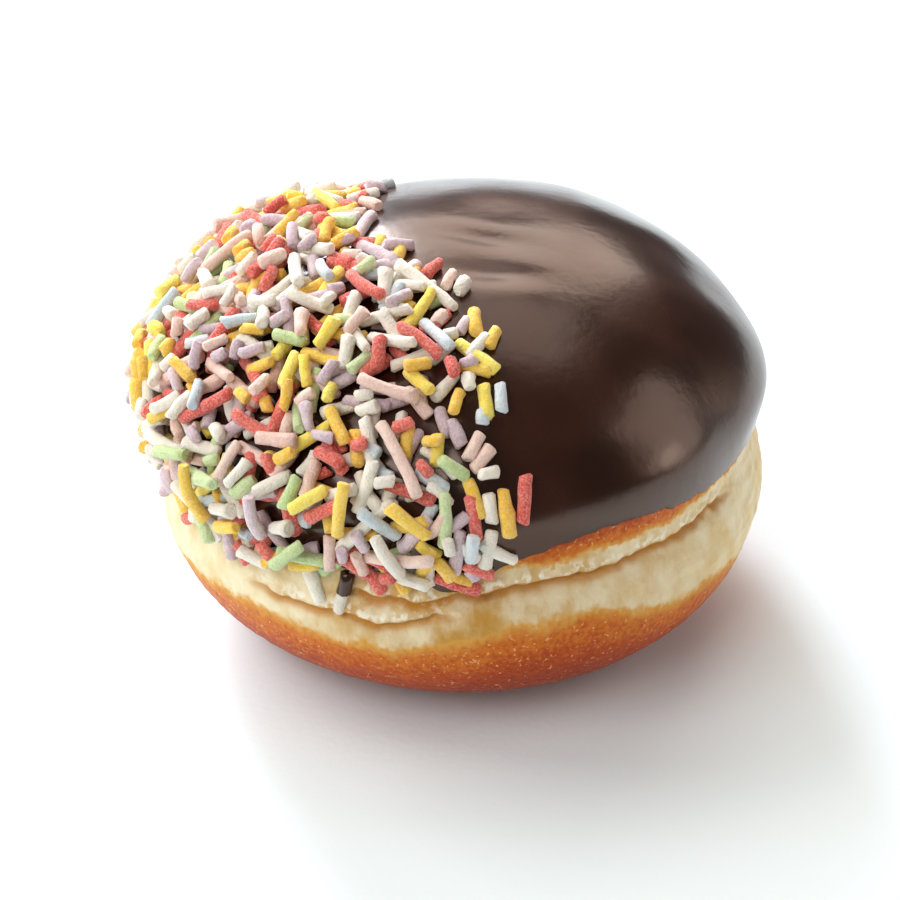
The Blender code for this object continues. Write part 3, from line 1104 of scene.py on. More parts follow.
@dataclass
class SugarStrands:
    """The whole heap of sugar strands, one piece for each colour.

    Lengths are in metres and angles in degrees.
    """

    jitter: float = 0.0010
    piling_start: float = 0.004
    piling_end: float = 0.014
    lowest_landing: float = -5.0
    landing_steps: int = 400
    landing_bearing: float = -90.0
    crowded_top: float = 0.3
    lone_radius: float = 0.0009
    stuck_rest: float = 0.0006
    lower_hang: float = 0.0004
    filling_hang: float = 0.0010
    topmost_rest: float = 0.0046
    drop_radius: float = 0.0010
    drop_rest: float = 0.0010
    stick_points: int = 12
    colour_seed: int = 5
    shape_seed: int = 17
    sides: int = 8
    ring_step: float = 0.0010
    lump_height: float = 0.00013
    lump_size: float = 0.0012
    bevel: float = 0.22
    end_girth: float = 0.72
    knob_share: float = 0.26
    knob_places: tuple[float, ...] = (0.0, 0.5, 1.0)
    knob_heights: Span = (0.12, 0.34)
    knob_reach: float = 1.2
    unevenness: float = 0.07
    uneven_points: int = 6
    taper: float = 0.20
    wobble: float = 0.00005
    deepest_tint: float = 0.6
    upper: Layer = Layer(seed=41, plot=0.0000215)
    filling: Layer = Layer(
        seed=7,
        plot=0.0000024,
        lengths=(0.0020, 0.0048),
        long_lengths=(0.0055, 0.0085),
        long_share=0.12,
        radii=(0.00076, 0.00094),
        bow=0.07,
        single_rest=0.0013,
        highest_rest=0.0027,
    )
    lower: Layer = Layer(
        seed=23,
        plot=0.0000040,
        lengths=(0.0026, 0.0060),
        long_lengths=(0.0070, 0.0100),
        long_share=0.10,
        radii=(0.00076, 0.00094),
        bow=0.10,
        single_rest=0.0008,
        highest_rest=0.0008,
        border_fade=0.008,
        below_bed=True,
    )
    lone: tuple[Lone, ...] = (
        Lone(11.5, 22.0, 80.0, 0.0066, Sugar.RED),
        Lone(8.0, 20.0, 95.0, 0.0066, Sugar.GOLD),
        Lone(5.0, 21.0, 95.0, 0.0040, Sugar.WHITE),
        Lone(2.0, 19.5, 97.0, 0.0058, Sugar.RED),
        Lone(-0.5, 24.5, 94.0, 0.0052, Sugar.LEMON),
        Lone(9.5, 40.5, 86.0, 0.0042, Sugar.BLUE),
        Lone(7.5, 35.0, 100.0, 0.0040, Sugar.BLUE),
        Lone(4.0, 29.5, 50.0, 0.0040, Sugar.ROSE),
        Lone(7.5, 8.5, 90.0, 0.0046, Sugar.GOLD),
        Lone(4.5, 14.0, 80.0, 0.0058, Sugar.WHITE),
        Lone(-1.0, 13.5, 84.0, 0.0070, Sugar.LILAC),
        Lone(-6.5, 11.0, 70.0, 0.0066, Sugar.GOLD),
        Lone(-3.0, 8.0, 90.0, 0.0044, Sugar.RED),
        Lone(4.5, 49.5, 135.0, 0.0070, Sugar.LEMON),
        Lone(5.0, 58.5, 90.0, 0.0044, Sugar.GOLD),
        Lone(10.5, 56.5, 30.0, 0.0040, Sugar.LILAC),
        Lone(-1.5, 34.0, 115.0, 0.0040, Sugar.LILAC),
        Lone(-5.5, 31.0, 90.0, 0.0042, Sugar.LEMON),
        Lone(-2.5, 39.5, 95.0, 0.0046, Sugar.GOLD),
        Lone(-10.0, 23.5, 165.0, 0.0072, Sugar.RED),
        Lone(-14.0, 26.5, 12.0, 0.0056, Sugar.RED),
        Lone(-17.5, 17.0, 50.0, 0.0115, Sugar.WHITE),
        Lone(-12.0, 32.0, 90.0, 0.0046, Sugar.GOLD),
        Lone(-22.0, 29.5, 110.0, 0.0050, Sugar.GOLD),
    )
    stuck: tuple[Lone, ...] = (
        Lone(-29.0, 2.0, 122.0, 0.0074, Sugar.WHITE),
        Lone(-22.5, 1.0, 78.0, 0.0062, Sugar.WHITE),
        Lone(-49.5, 6.5, 97.0, 0.0056, Sugar.LILAC),
        Lone(-46.0, 5.0, 66.0, 0.0052, Sugar.GOLD),
        Lone(-41.5, 7.0, 60.0, 0.0046, Sugar.RED),
        Lone(-30.5, 5.0, 114.0, 0.0042, Sugar.LEMON),
        Lone(-25.0, 6.0, 50.0, 0.0050, Sugar.GREEN),
        Lone(-17.5, 6.0, 122.0, 0.0066, Sugar.RED),
        Lone(-13.0, 7.0, 124.0, 0.0072, Sugar.GOLD),
    )
    dripped: tuple[Lone, ...] = (Lone(-22.0, 3.0, 80.0, 0.0034, Sugar.WHITE),)
    topmost: tuple[Lone, ...] = (
        Lone(-60.0, 15.5, 25.0, 0.0075, Sugar.GREEN),
        Lone(-50.5, 15.5, 18.0, 0.0078, Sugar.GREEN),
        Lone(-45.5, 12.5, 28.0, 0.0052, Sugar.WHITE),
        Lone(-44.5, 10.0, 30.0, 0.0052, Sugar.GOLD),
        Lone(-52.5, 13.0, 100.0, 0.0094, Sugar.GOLD),
        Lone(-30.5, 11.5, 45.0, 0.0056, Sugar.GREEN),
        Lone(-37.5, 14.5, 95.0, 0.0070, Sugar.LILAC),
        Lone(-31.5, 19.5, 80.0, 0.0048, Sugar.GREEN),
        Lone(-27.5, 19.5, 45.0, 0.0054, Sugar.LEMON),
        Lone(-24.5, 18.5, 35.0, 0.0056, Sugar.RED),
        Lone(-37.0, 22.0, 75.0, 0.0064, Sugar.RED),
        Lone(-21.0, 19.5, 84.0, 0.0076, Sugar.GOLD),
        Lone(-12.5, 14.5, 118.0, 0.0072, Sugar.WHITE),
        Lone(-9.5, 19.0, 145.0, 0.0066, Sugar.GOLD),
    )
    more_lone: tuple[Lone, ...] = (
        Lone(4.5, 37.0, 90.0, 0.0022, Sugar.BLUE),
        Lone(1.5, 15.0, 85.0, 0.0043, Sugar.BLUE),
        Lone(-4.5, 13.0, 82.0, 0.0052, Sugar.WHITE),
        Lone(-3.0, 46.0, 104.0, 0.0029, Sugar.RED),
        Lone(-19.5, 17.5, 52.0, 0.0030, Sugar.GOLD),
        Lone(-1.5, 45.0, 102.0, 0.0033, Sugar.GREEN),
        Lone(-19.0, 29.5, 90.0, 0.0027, Sugar.LEMON),
    )

    def __post_init__(self) -> None:
        """Make the tree and the draws that all pieces share."""
        self.made_tree = self.tree()
        self.shapes = np.random.default_rng(self.shape_seed)

    def landing_places(self, coat: CoatForm, plot: float) -> tuple[np.ndarray, np.ndarray]:
        """An even spread of places over the whole dome.

        Args:
            coat: The coat that they lie on.
            plot: Area to each place.

        Returns:
            Their bearings and rises in radians.
        """
        rises = np.radians(np.linspace(90.0, self.lowest_landing, self.landing_steps))
        reach = coat.reach(np.full_like(rises, np.radians(self.landing_bearing)), rises)
        level, upright = reach * np.cos(rises), reach * np.sin(rises)
        strip = np.hypot(np.diff(level), np.diff(upright))
        area = np.concatenate(((0.0,), np.cumsum(np.pi * strip * (level[1:] + level[:-1]))))
        number = np.arange(int(area[-1] / plot))
        golden_turn = np.pi * (3.0 - np.sqrt(5.0))
        bearing = (number * golden_turn + np.pi) % (2.0 * np.pi) - np.pi
        return bearing, np.interp((number + 0.5) * plot, area, rises)

    def strew(self, heap: Heap, layer: Layer, colours: np.random.Generator) -> None:
        """Strew one layer over the field.

        Args:
            heap: The heap that it falls on.
            layer: How it is strewn.
            colours: Draws the colours.
        """
        draw = np.random.default_rng(layer.seed)
        coat = heap.coat
        bearings, rises = self.landing_places(coat, layer.plot)
        order = draw.permutation(len(bearings))
        drawn = []
        for _ in order:
            jitter = draw.uniform(-1.0, 1.0, 2) * self.jitter / coat.dough.half_width
            long_one = draw.random() < layer.long_share
            length = draw.uniform(*(layer.long_lengths if long_one else layer.lengths))
            radius = draw.uniform(*layer.radii)
            heading = draw.uniform(0.0, np.pi)
            bow = draw.uniform(-layer.bow, layer.bow)
            drawn.append((*jitter, length, radius, heading, bow, draw.random()))
        upward, sideways, length, radius, heading, bow, chance = np.array(drawn).T
        rise = rises[order] + upward
        bearing = bearings[order] + sideways / np.maximum(np.cos(rise), self.crowded_top)
        point = coat.point(bearing, rise)
        inside = coat.border_x(point[:, 1]) - point[:, 0]
        piled = ease(inside, self.piling_start, self.piling_end)
        highest = layer.single_rest + (layer.highest_rest - layer.single_rest) * piled
        if layer.below_bed:
            highest = highest + coat.bed_depth(bearing, rise, coat.dough.reach(bearing, rise))
        footings = np.stack(heap.footings(bearing, rise), axis=1)
        chances = [finish.share for finish in SUGAR_FINISHES]
        on_field = (rise > coat.edge_rise(bearing)) & (chance < ease(inside, 0.0, layer.border_fade))
        for i in np.flatnonzero(on_field):
            sugar = SUGAR_FINISHES[colours.choice(len(chances), p=chances)].sugar
            heap.settle(Throw(*footings[i], heading[i], length[i], radius[i], bow[i], highest[i], sugar))

    def lay(self, heap: Heap, lone: Sequence[Lone], highest: float) -> None:
        """Lay listed strands.

        Args:
            heap: The heap that they lie on.
            lone: The strands.
            highest: How high they may rest.
        """
        for one in lone:
            bearing, rise, heading = np.radians((one.bearing, one.rise, one.heading))
            footing = heap.footings(bearing, rise)
            heap.settle(Throw(*footing, heading, one.length, self.lone_radius, 0.0, highest, one.sugar))

    def stick(self, heap: Heap, lone: Sequence[Lone], radius: float, rest: float) -> None:
        """Stick listed strands to the skin of the dough and of the lip.

        Args:
            heap: The heap that gets them.
            lone: The strands.
            radius: Their radius.
            rest: How high their middle lines lie above the skin.
        """
        dough = heap.coat.dough
        for one in lone:
            bearing, rise, heading = np.radians((one.bearing, one.rise, one.heading))
            foot, along, side, normal = heap.footings(bearing, rise)
            run = along * np.cos(heading) + side * np.sin(heading)
            line = foot + np.linspace(-0.5, 0.5, self.stick_points)[:, None] * one.length * run
            turn, lift = dough.angles(line)
            above = lift > heap.coat.edge_rise(turn)
            skin = np.where(above, heap.coat.reach(turn, lift), dough.reach(turn, lift))
            centre = dough.points(turn, lift, skin + rest)
            heap.strands.append(Strand(centre, radius, one.sugar))

    def strands(self) -> list[Strand]:
        """All strands, from the coat up.

        Returns:
            The strands in their places.
        """
        colours = np.random.default_rng(self.colour_seed)
        low = Heap(CoatForm(deep=False), hang=self.lower_hang)
        self.strew(low, self.lower, colours)
        high = Heap(CoatForm())
        self.lay(high, self.lone, self.upper.single_rest)
        self.strew(high, self.upper, colours)
        packed = len(high.strands)
        self.stick(low, self.stuck, self.lone_radius, self.stuck_rest)
        self.lay(high, self.topmost, self.topmost_rest)
        high.hang = self.filling_hang
        self.lay(high, self.more_lone, self.upper.highest_rest)
        self.strew(high, self.filling, colours)
        more = len(high.strands) - packed
        log.info("strands: %d low, %d as in the part, %d more", len(low.strands), packed, more)
        return low.strands + high.strands

    def rings(self, strand: Strand, draw: np.random.Generator) -> tuple[np.ndarray, np.ndarray]:
        """Where the rings of one strand lie along it.

        Args:
            strand: The strand.
            draw: Draws its unevenness.

        Returns:
            The points, and the radius at each.
        """
        step = np.linalg.norm(np.diff(strand.line, axis=0), axis=1)
        along = np.concatenate(((0.0,), np.cumsum(step)))
        length = along[-1]
        end = self.bevel * strand.radius
        count = max(int((length - 2.0 * end) / self.ring_step), 2)
        middle = np.linspace(end, length - end, count + 1)
        places = np.concatenate(((0.0,), middle, (length,)))
        rounding = np.ones(len(places))
        rounding[[0, -1]] = self.end_girth
        marks = np.linspace(0.0, length, self.uneven_points)
        uneven = np.interp(places, marks, draw.uniform(-1.0, 1.0, self.uneven_points))
        girth = 1.0 + self.unevenness * uneven
        girth = girth + draw.uniform(-self.taper, self.taper) * (places / length - 0.5)
        if draw.random() < self.knob_share:
            knob = draw.choice(self.knob_places) * length
            height = draw.uniform(*self.knob_heights)
            girth = girth + height * hump(places, knob, self.knob_reach * strand.radius)
        points = np.stack([np.interp(places, along, strand.line[:, axis]) for axis in range(3)], axis=-1)
        points = points + self.wobble * draw.uniform(-1.0, 1.0, points.shape)
        return points, strand.radius * rounding * girth

    def spines(self, name: str, strands: Sequence[Strand], draw: np.random.Generator) -> Mesh:
        """A mesh of the strands' middle lines.

        Args:
            name: Name of the mesh.
            strands: The strands.
            draw: Draws their unevenness and tint.

        Returns:
            The mesh, with the attributes girth and tint.
        """
        points, girths, tints, edges = [], [], [], []
        start = 0
        for strand in strands:
            line, girth = self.rings(strand, draw)
            points.append(line)
            girths.append(girth)
            tints.append(np.full(len(line), draw.uniform(0.0, self.deepest_tint)))
            edges.extend((start + i, start + i + 1) for i in range(len(line) - 1))
            start += len(line)
        mesh = bpy.data.meshes.new(name)
        mesh.from_pydata(np.concatenate(points).tolist(), edges, [])
        keep_values(mesh, {"girth": np.concatenate(girths), "tint": np.concatenate(tints)})
        return mesh

    def tree(self) -> Tree:
        """The node tree that turns middle lines into lumpy rods.

        Returns:
            A geometry node tree with the inputs Sides, Lump Height, Lump Size, Seed and Material.
        """
        tree = bpy.data.node_groups.new("sugar_rods", "GeometryNodeTree")
        sockets = (
            ("Lines", "NodeSocketGeometry"),
            ("Sides", "NodeSocketInt"),
            ("Lump Height", "NodeSocketFloat"),
            ("Lump Size", "NodeSocketFloat"),
            ("Seed", "NodeSocketFloat"),
            ("Material", "NodeSocketMaterial"),
        )
        for name, kind in sockets:
            tree.interface.new_socket(name, in_out="INPUT", socket_type=kind)
        tree.interface.new_socket("Rods", in_out="OUTPUT", socket_type="NodeSocketGeometry")
        given = tree.nodes.new("NodeGroupInput").outputs
        add = partial(add_node, tree)
        lines = add("GeometryNodeMeshToCurve", {"Mesh": given["Lines"]}).outputs[0]
        inputs = {"Resolution": given["Sides"], "Radius": 1.0}
        circle = add("GeometryNodeCurvePrimitiveCircle", inputs).outputs[0]
        girth = add("GeometryNodeInputNamedAttribute", {"Name": "girth"}, data_type="FLOAT").outputs[0]
        inputs = {"Curve": lines, "Profile Curve": circle, "Scale": girth, "Fill Caps": True}
        rods = add("GeometryNodeCurveToMesh", inputs).outputs[0]
        place = add("GeometryNodeInputPosition").outputs[0]
        finer = add("ShaderNodeMath", {0: 1.0, 1: given["Lump Size"]}, operation="DIVIDE").outputs[0]
        inputs = {"Vector": place, "W": given["Seed"], "Scale": finer, "Detail": 1.0}
        lumps = add("ShaderNodeTexNoise", inputs, noise_dimensions="4D").outputs["Fac"]
        lumps = add("ShaderNodeMath", {0: lumps, 1: 0.5}, operation="SUBTRACT").outputs[0]
        lumps = add("ShaderNodeMath", {0: lumps, 1: given["Lump Height"]}, operation="MULTIPLY").outputs[0]
        lumps = add("ShaderNodeMath", {0: lumps, 1: 2.0}, operation="MULTIPLY").outputs[0]
        normal = add("GeometryNodeInputNormal").outputs[0]
        offset = add("ShaderNodeVectorMath", {0: normal, "Scale": lumps}, operation="SCALE").outputs[0]
        rods = add("GeometryNodeSetPosition", {"Geometry": rods, "Offset": offset}).outputs[0]
        rods = add("GeometryNodeSetShadeSmooth", {"Geometry": rods, "Shade Smooth": True}).outputs[0]
        rods = add("GeometryNodeRealizeInstances", {"Geometry": rods}).outputs[0]
        rods = add("GeometryNodeSetMaterial", {"Geometry": rods, "Material": given["Material"]}).outputs[0]
        tree.links.new(rods, tree.nodes.new("NodeGroupOutput").inputs[0])
        return tree

    def rods(self, name: str, strands: Sequence[Strand], material: Material) -> Piece:
        """Build one piece from its strands.

        Args:
            name: Name of the piece.
            strands: The strands.
            material: Their material.

        Returns:
            The piece, dressed.
        """
        items = self.made_tree.interface.items_tree
        sockets = {item.name: item.identifier for item in items if item.in_out == "INPUT"}
        piece = new_piece(self.spines(name, strands, self.shapes))
        rods = piece.modifiers.new("rods", "NODES")
        rods.node_group = self.made_tree
        rods[sockets["Sides"]] = self.sides
        rods[sockets["Lump Height"]] = self.lump_height
        rods[sockets["Lump Size"]] = self.lump_size
        rods[sockets["Seed"]] = float(len(strands))
        rods[sockets["Material"]] = material
        seen = piece.evaluated_get(bpy.context.evaluated_depsgraph_get())
        made = bpy.data.meshes.new_from_object(seen)
        piece.modifiers.clear()
        piece.data = made
        made.name = name
        log.info("%s: %d strands, %d faces", name, len(strands), len(made.polygons))
        return piece

    def build(self) -> list[Piece]:
        """Build one piece for each colour.

        Returns:
            The pieces, dressed.
        """
        strands = self.strands()
        pieces = []
        for finish in SUGAR_FINISHES:
            mine = [strand for strand in strands if strand.sugar is finish.sugar]
            pieces.append(self.rods(f"sugar_strands_{finish.sugar.value}", mine, finish.make()))
        return pieces

    def drops(self, chocolate: Material) -> Piece:
        """Build the drops of chocolate that hang on strands.

        Args:
            chocolate: The coat's material.

        Returns:
            The piece, dressed.
        """
        low = Heap(CoatForm(deep=False))
        self.stick(low, self.dripped, self.drop_radius, self.drop_rest)
        return self.rods("chocolate_drops", low.strands, chocolate)


@dataclass
class DoughBall:
    """The dough, with its crusts, creases, blisters and wrinkles.

    Lengths are in metres and angles in degrees. Crust lines are points of bearing and level above the floor.
    """

    coat: CoatForm = CoatForm(deep=False)
    finish: DoughFinish = DoughFinish()
    columns: int = 590
    hidden_rings: int = 14
    band_rings: int = 92
    base_rings: int = 62
    band_rise: float = -16.0
    flat_rise: float = -56.0
    tucked_rise: float = 5.0
    base_line: tuple[tuple[float, float], ...] = (
        (-180.0, 0.0175),
        (-140.0, 0.0160),
        (-105.0, 0.0150),
        (-70.0, 0.0146),
        (-57.0, 0.0165),
        (-44.0, 0.0182),
        (-15.0, 0.0181),
        (-3.0, 0.0189),
        (9.0, 0.0219),
        (24.0, 0.0219),
        (32.0, 0.0199),
        (42.0, 0.0181),
        (62.0, 0.0168),
        (74.0, 0.0138),
        (100.0, 0.0125),
        (140.0, 0.0165),
        (180.0, 0.0175),
    )
    top_line: float = 0.0259
    top_line_swing: float = 0.0044
    top_line_bearing: float = 32.0
    slit_width: float = 0.00032
    slit_depth: float = 0.0007
    slit_wander: float = 0.0008
    slit_wander_size: float = 0.0046
    slit_seeds: tuple[float, float] = (11.0, 21.0)
    ridge_above: float = 0.0010
    ridge_width: float = 0.0006
    ridge_height: float = 0.00018
    fold_shade_width: float = 0.0007
    flake_width: float = 0.0012
    crease_width: float = 0.0010
    crease_share: float = 0.35
    bare_span: Span = (-2.0, 1.0)
    base_crusty: Span = (-0.5, 2.0)
    top_crusty: Span = (-0.5, 1.0)
    wrinkle: float = 0.00022
    wrinkle_size: tuple[float, float, float] = (0.0042, 0.0042, 0.0013)
    wrinkle_loss: float = 0.6
    pucker: float = 0.00010
    pucker_size: float = 0.0010
    blister: float = 0.00030
    blister_size: float = 0.0013
    blister_span: Span = (-2.0, 1.0)
    relief_seeds: tuple[float, float, float] = (3.0, 5.0, 8.0)
    # Round this bearing the front of the band gets a darker tan, partly its own colour and partly painted
    # shade
    baked_and_shaded_bearing: float = 2.0
    baked_and_shaded_spread: float = 34.0

    def rises(self, edge: np.ndarray) -> np.ndarray:
        """Rise of each ring at each bearing.

        Args:
            edge: Rise of the chocolate's edge at each bearing, in radians.

        Returns:
            Rises in radians, by ring and by column.
        """
        tucked = edge + np.radians(self.tucked_rise)
        hidden = np.linspace(0.0, 1.0, self.hidden_rings)[:, None]
        band = np.linspace(0.0, 1.0, self.band_rings + 1)[1:, None]
        base = np.linspace(0.0, 1.0, self.base_rings + 1)[1:, None]
        top = np.pi / 2
        low, flat = np.radians((self.band_rise, self.flat_rise))
        rows = (
            top + hidden * (tucked - top),
            tucked + band * (low - tucked),
            np.broadcast_to(low + base * (flat - low), (self.base_rings, len(edge))),
            np.full((1, len(edge)), -np.pi / 2),
        )
        return np.concatenate(rows)

    def crease_marks(self, form: DoughForm, bearing: np.ndarray, level: np.ndarray) -> list[np.ndarray]:
        """Where the wandering creases mark the skin.

        Args:
            form: The dough's form.
            bearing: Bearings of the columns in radians.
            level: Levels above the floor, by ring and by column.

        Returns:
            Shares of the cut, of the ridge above it, of the shade in it and of the flakes above it.
        """
        around = level_ring(bearing, form.half_width)
        marks = np.zeros((4, *level.shape))
        coarse, fine = self.slit_seeds
        for number, crease in enumerate(form.creases):
            middle, ends = form.crease_middle(crease, bearing)
            middle = middle + self.slit_wander * ripple(around, self.slit_wander_size, coarse + number)
            finer = ripple(around, self.slit_wander_size / 3.0, fine + number)
            middle = middle + self.slit_wander / 2.0 * finer
            above = middle + self.ridge_above
            lines = (
                (middle, self.slit_width),
                (above, self.ridge_width),
                (middle, self.fold_shade_width),
                (above, self.flake_width),
            )
            marks = marks + np.stack([ends * hump(level, line, width) for line, width in lines])
        return list(marks)

    def build(self) -> Piece:
        """Build the dough.

        Returns:
            The piece, dressed.
        """
        form = self.coat.dough
        shallow = tuple(replace(one, depth=one.depth * self.crease_share) for one in form.creases)
        form = replace(form, crease_width=self.crease_width, creases=shallow)
        bearing = np.linspace(-np.pi, np.pi, self.columns, endpoint=False)
        edge = self.coat.edge_rise(bearing)
        rise = self.rises(edge)
        turn = np.broadcast_to(bearing, rise.shape)
        smooth = form.reach(turn, rise)
        points = form.points(turn, rise, smooth)
        level = points[..., 2]
        bare = ease(np.degrees(edge - rise), *self.bare_span)
        base_level = np.interp(np.degrees(bearing), *np.array(self.base_line).T)
        top_swing = np.cos(np.radians(turn_between(bearing, self.top_line_bearing)))
        top_level = self.top_line + self.top_line_swing * top_swing
        base_crust = (base_level - level) / MILLIMETRE
        top_crust = (level - top_level) / MILLIMETRE
        # The third mark is where shade is painted into the creases
        slit, ridge, fold_shade, flaky = self.crease_marks(form, bearing, level)
        crusty = np.maximum(ease(base_crust, *self.base_crusty), ease(top_crust, *self.top_crusty))
        sizes = (self.wrinkle_size, self.pucker_size, self.blister_size)
        wrinkles, puckers, blisters = (ripple(points, *one) for one in zip(sizes, self.relief_seeds))
        blisters = np.maximum(blisters, 0.0) * crusty * ease(top_crust, *self.blister_span)
        fine = self.wrinkle * wrinkles * (1.0 - self.wrinkle_loss * crusty) + self.pucker * puckers
        fine = fine + self.blister * blisters
        fine = fine + self.ridge_height * ridge * (0.5 + puckers) - self.slit_depth * slit
        points = form.points(turn, rise, smooth + bare * fine)
        points[..., 2] = np.maximum(points[..., 2], 0.0)
        points[-1] = (0.0, 0.0, 0.0)
        points[0] = points[0, 0]
        # Darker tan round the front bearing, partly the dough's own colour and partly painted shade
        baked_and_shaded = hump(turn_between(turn, self.baked_and_shaded_bearing), 0.0, self.baked_and_shaded_spread)
        values = {
            "base_crust": base_crust,
            "top_crust": top_crust,
            "fold_shade": np.clip(fold_shade * bare, 0.0, 1.0),
            "flaky": np.clip(flaky, 0.0, 1.0),
            "baked_and_shaded": baked_and_shaded,
        }
        return new_piece(closed_grid("dough_ball", points, values), (self.finish.make(),))


@dataclass
class ChocolateCoat:
    """The chocolate coat, with its uneven lower edge and its long shallow dents.

    Lengths are in metres and angles in degrees.
    """

    coat: CoatForm = CoatForm(deep=False)
    finish: ChocolateFinish = ChocolateFinish()
    columns: int = 560
    outer_rings: int = 120
    lip_rings: int = 6
    inner_rings: int = 10
    tuck: float = 0.0003
    lip_bulge: float = 0.75
    rag: float = 0.00055
    rag_size: float = 0.0017
    rag_bearing: float = 60.0
    rag_spread: float = 45.0
    least_rag: float = 0.35
    rag_seeds: tuple[float, float] = (2.0, 4.0)
    swing: float = 0.00028
    swing_size: float = 0.013
    swing_seed: float = 1.0
    smooth_edge: Span = (0.93, 1.0)
    grip: float = 0.00024
    grip_size: float = 0.0022
    grip_seed: float = 6.0
    grip_border: Span = (0.001, 0.006)
    dents: tuple[Dent, ...] = (
        Dent(117.0, 84.0, -14.0, 12.0, 4.4, 0.00050),
        Dent(28.0, 75.4, -4.0, 11.0, 4.0, 0.00046),
        Dent(70.0, 24.0, 20.0, 10.0, 5.0, 0.00012),
    )

    def dented(self, bearing: np.ndarray, rise: np.ndarray) -> np.ndarray:
        """How deep the dents are.

        Args:
            bearing: Bearings in radians.
            rise: Rises in radians.

        Returns:
            Depths.
        """
        depth = np.zeros(bearing.shape)
        outward = direction(bearing, rise)
        for dent in self.dents:
            middle = Vector(direction(np.radians(dent.bearing), np.radians(dent.rise)).tolist())
            back = Vector((0.0, 1.0, 0.0))
            back = (back - middle * back.dot(middle)).normalized()
            right = back.cross(middle)
            heading = math.radians(dent.heading)
            length = right * math.cos(heading) + back * math.sin(heading)
            width = back * math.cos(heading) - right * math.sin(heading)
            along = np.degrees(outward @ np.array(length))
            side = np.degrees(outward @ np.array(width))
            near = outward @ np.array(middle) > 0.0
            depth = depth + near * dent.depth * hump(along, 0.0, dent.length) * hump(side, 0.0, dent.width)
        return depth

    def build(self) -> Piece:
        """Build the coat as one closed skin, down the outside, round the lip and up the inside.

        Returns:
            The piece, dressed.
        """
        form = self.coat.dough
        bearing = np.linspace(-np.pi, np.pi, self.columns, endpoint=False)
        around = level_ring(bearing, form.half_width)
        coarse, fine = self.rag_seeds
        near = hump(turn_between(bearing, self.rag_bearing), 0.0, self.rag_spread)
        rag = self.rag * (self.least_rag + (1.0 - self.least_rag) * near)
        wander = ripple(around, self.rag_size, coarse) + 0.5 * ripple(around, self.rag_size / 2.0, fine)
        edge = self.coat.edge_rise(bearing) + rag * wander / form.half_width
        share = np.linspace(0.0, 1.0, self.outer_rings)[:, None]
        rise = np.pi / 2 + share * (edge - np.pi / 2)
        turn = np.broadcast_to(bearing, rise.shape)
        reach = self.coat.reach(turn, rise)
        points = form.points(turn, rise, reach)
        above_edge = 1.0 - ease(share, *self.smooth_edge)
        swing = self.swing * ripple(points, self.swing_size, self.swing_seed)
        covered = ease(self.coat.inside(turn, rise, reach), *self.grip_border)
        grip = self.grip * covered * ripple(points, self.grip_size, self.grip_seed)
        outside = reach + (swing - self.dented(turn, rise)) * above_edge + grip
        angle = np.linspace(0.0, np.pi, self.lip_rings)[1:-1, None]
        inner_edge = form.reach(bearing, edge) - self.tuck
        half = (outside[-1] - inner_edge) / 2.0
        lip_reach = inner_edge + half * (1.0 + np.cos(angle))
        lip_rise = edge - half * np.sin(angle) * self.lip_bulge / form.half_width
        back = np.linspace(1.0, 0.0, self.inner_rings)[:, None]
        inner_rise = np.pi / 2 + back * (edge - np.pi / 2)
        inner_turn = np.broadcast_to(bearing, inner_rise.shape)
        inner_reach = form.reach(inner_turn, inner_rise) - self.tuck
        all_rise = np.concatenate((rise, lip_rise, inner_rise))
        all_reach = np.concatenate((outside, lip_reach, inner_reach))
        points = form.points(np.broadcast_to(bearing, all_rise.shape), all_rise, all_reach)
        points[0] = points[0, 0]
        points[-1] = points[-1, 0]
        return new_piece(closed_grid("chocolate_coat", points, {}), (self.finish.make(),))


@dataclass(frozen=True)
class Softbox:
    """A soft light over the doughnut.

    Args:
        name: Its name.
        bearing: Where it stands, in degrees, as seen from the doughnut.
        rise: Its height above the horizon in degrees.
        distance: Its distance in metres.
        width: Its width in metres.
        height: Its height in metres.
        power: Its power in watts.
        colour: Its colour.
    """

    name: str
    bearing: float
    rise: float
    distance: float
    width: float
    height: float
    power: float
    colour: Colour = (255, 255, 255)


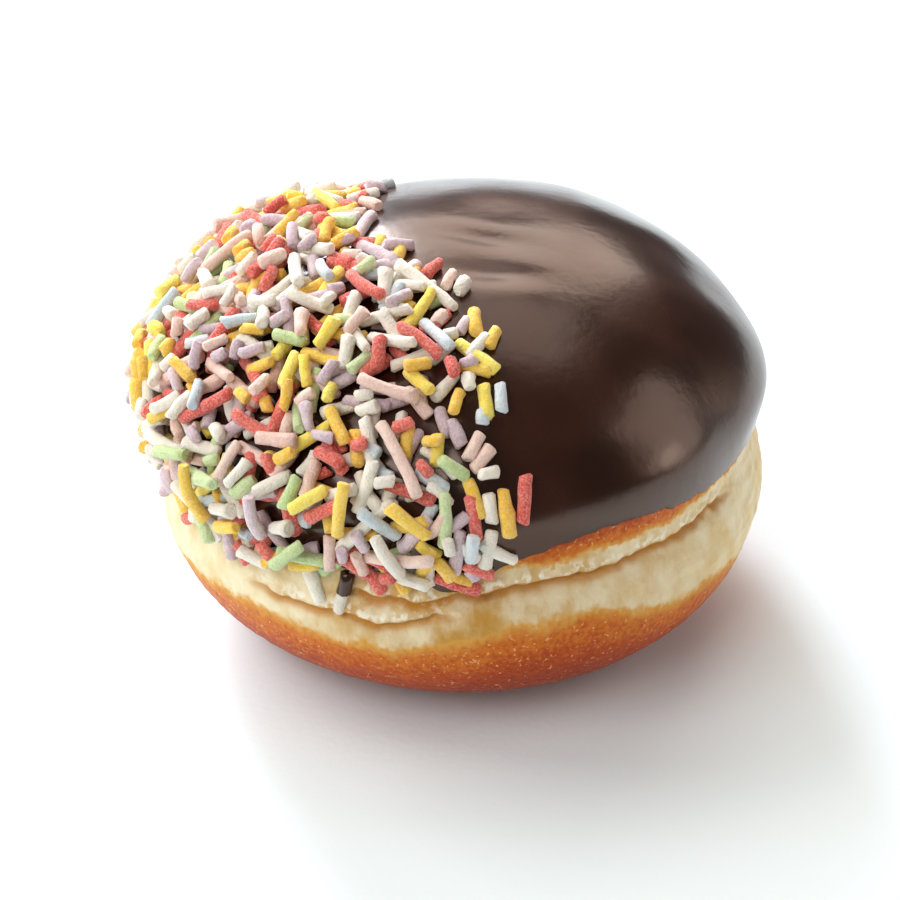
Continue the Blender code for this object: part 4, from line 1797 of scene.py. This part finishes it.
@dataclass
class Studio:
    """The pale floor, the soft lights and the camera.

    Lengths are in metres and angles in degrees.
    """

    floor_reach: float = 3.0
    finish: PaperFinish = PaperFinish()
    sky: Colour = (208, 204, 202)
    sky_strength: float = 0.18
    target: tuple[float, float, float] = (0.0, 0.0, 0.027)
    view_bearing: float = 0.0
    view_rise: float = 34.0
    distance: float = 0.5
    lens: float = 141.0
    shift: tuple[float, float] = (-0.0143, -0.0337)
    softboxes: tuple[Softbox, ...] = (
        Softbox("key", 248.0, 44.0, 1.6, 1.0, 0.9, 14.6),
        Softbox("top", 178.0, 64.0, 1.5, 1.3, 0.7, 4.2, (255, 248, 242)),
        Softbox("back_left", 200.5, 25.5, 1.6, 0.50, 0.8, 35.0, (236, 244, 255)),
        Softbox("back", 172.0, 32.0, 1.6, 1.1, 0.7, 7.5, (255, 238, 226)),
        Softbox("front", -46.0, 41.0, 1.4, 1.2, 0.8, 10.4),
        Softbox("right", 91.0, 23.0, 0.70, 0.40, 0.50, 1.05, (255, 242, 234)),
        Softbox("right_low", 80.0, 13.0, 0.70, 0.18, 0.12, 0.20, (255, 246, 240)),
    )

    def light(self, box: Softbox) -> None:
        """Hang one soft light, facing the doughnut.

        Args:
            box: The light.
        """
        data = bpy.data.lights.new(box.name, "AREA")
        data.shape = "RECTANGLE"
        data.size = box.width
        data.size_y = box.height
        data.energy = box.power
        data.color = linear(box.colour)[:3]
        lamp = bpy.data.objects.new(box.name, data)
        bpy.context.scene.collection.objects.link(lamp)
        outward = Vector(direction(np.radians(box.bearing), np.radians(box.rise)).tolist())
        lamp.location = Vector(self.target) + outward * box.distance
        lamp.rotation_euler = (-outward).to_track_quat("-Z", "Y").to_euler()

    def build(self) -> None:
        """Set up the floor, the lights and the camera."""
        reach = self.floor_reach
        square = ((-reach, -reach, 0.0), (reach, -reach, 0.0), (reach, reach, 0.0), (-reach, reach, 0.0))
        mesh = bpy.data.meshes.new("floor")
        mesh.from_pydata(square, [], [(0, 1, 2, 3)])
        floor = new_piece(mesh, (self.finish.make(),))
        floor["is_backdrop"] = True
        scene = bpy.context.scene
        world = bpy.data.worlds.new("room")
        world.use_nodes = True
        sky = world.node_tree.nodes["Background"]
        sky.inputs["Color"].default_value = linear(self.sky)
        sky.inputs["Strength"].default_value = self.sky_strength
        scene.world = world
        for box in self.softboxes:
            self.light(box)
        data = bpy.data.cameras.new("camera")
        data.lens = self.lens
        data.shift_x, data.shift_y = self.shift
        camera = bpy.data.objects.new("camera", data)
        scene.collection.objects.link(camera)
        outward = Vector(direction(np.radians(self.view_bearing), np.radians(self.view_rise)).tolist())
        camera.location = Vector(self.target) + outward * self.distance
        camera.rotation_euler = (-outward).to_track_quat("-Z", "Y").to_euler()
        scene.camera = camera
        scene.view_settings.view_transform = "Standard"


def corners() -> list[list[float]]:
    """Lowest and highest corner of the shown object, in metres."""
    return [list(corner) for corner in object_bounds()]


def main() -> None:
    """Dress the doughnut."""
    logging.basicConfig(level=logging.INFO, format="%(name)s: %(message)s")
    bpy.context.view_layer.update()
    dough = DoughBall().build()
    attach(dough, BODY)
    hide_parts(DOUGH_NODE)
    log.info("%s: %d faces", dough.name, len(dough.data.polygons))
    coat = ChocolateCoat().build()
    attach(coat, BODY)
    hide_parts(COAT_NODE)
    log.info("%s: %d faces", coat.name, len(coat.data.polygons))
    sugar = SugarStrands()
    for piece in sugar.build():
        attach(piece, BODY)
        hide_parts(COAT_NODE)
    drops = sugar.drops(coat.data.materials[0])
    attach(drops, BODY)
    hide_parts(COAT_NODE)
    Studio().build()


if __name__ == "__main__":
    main()
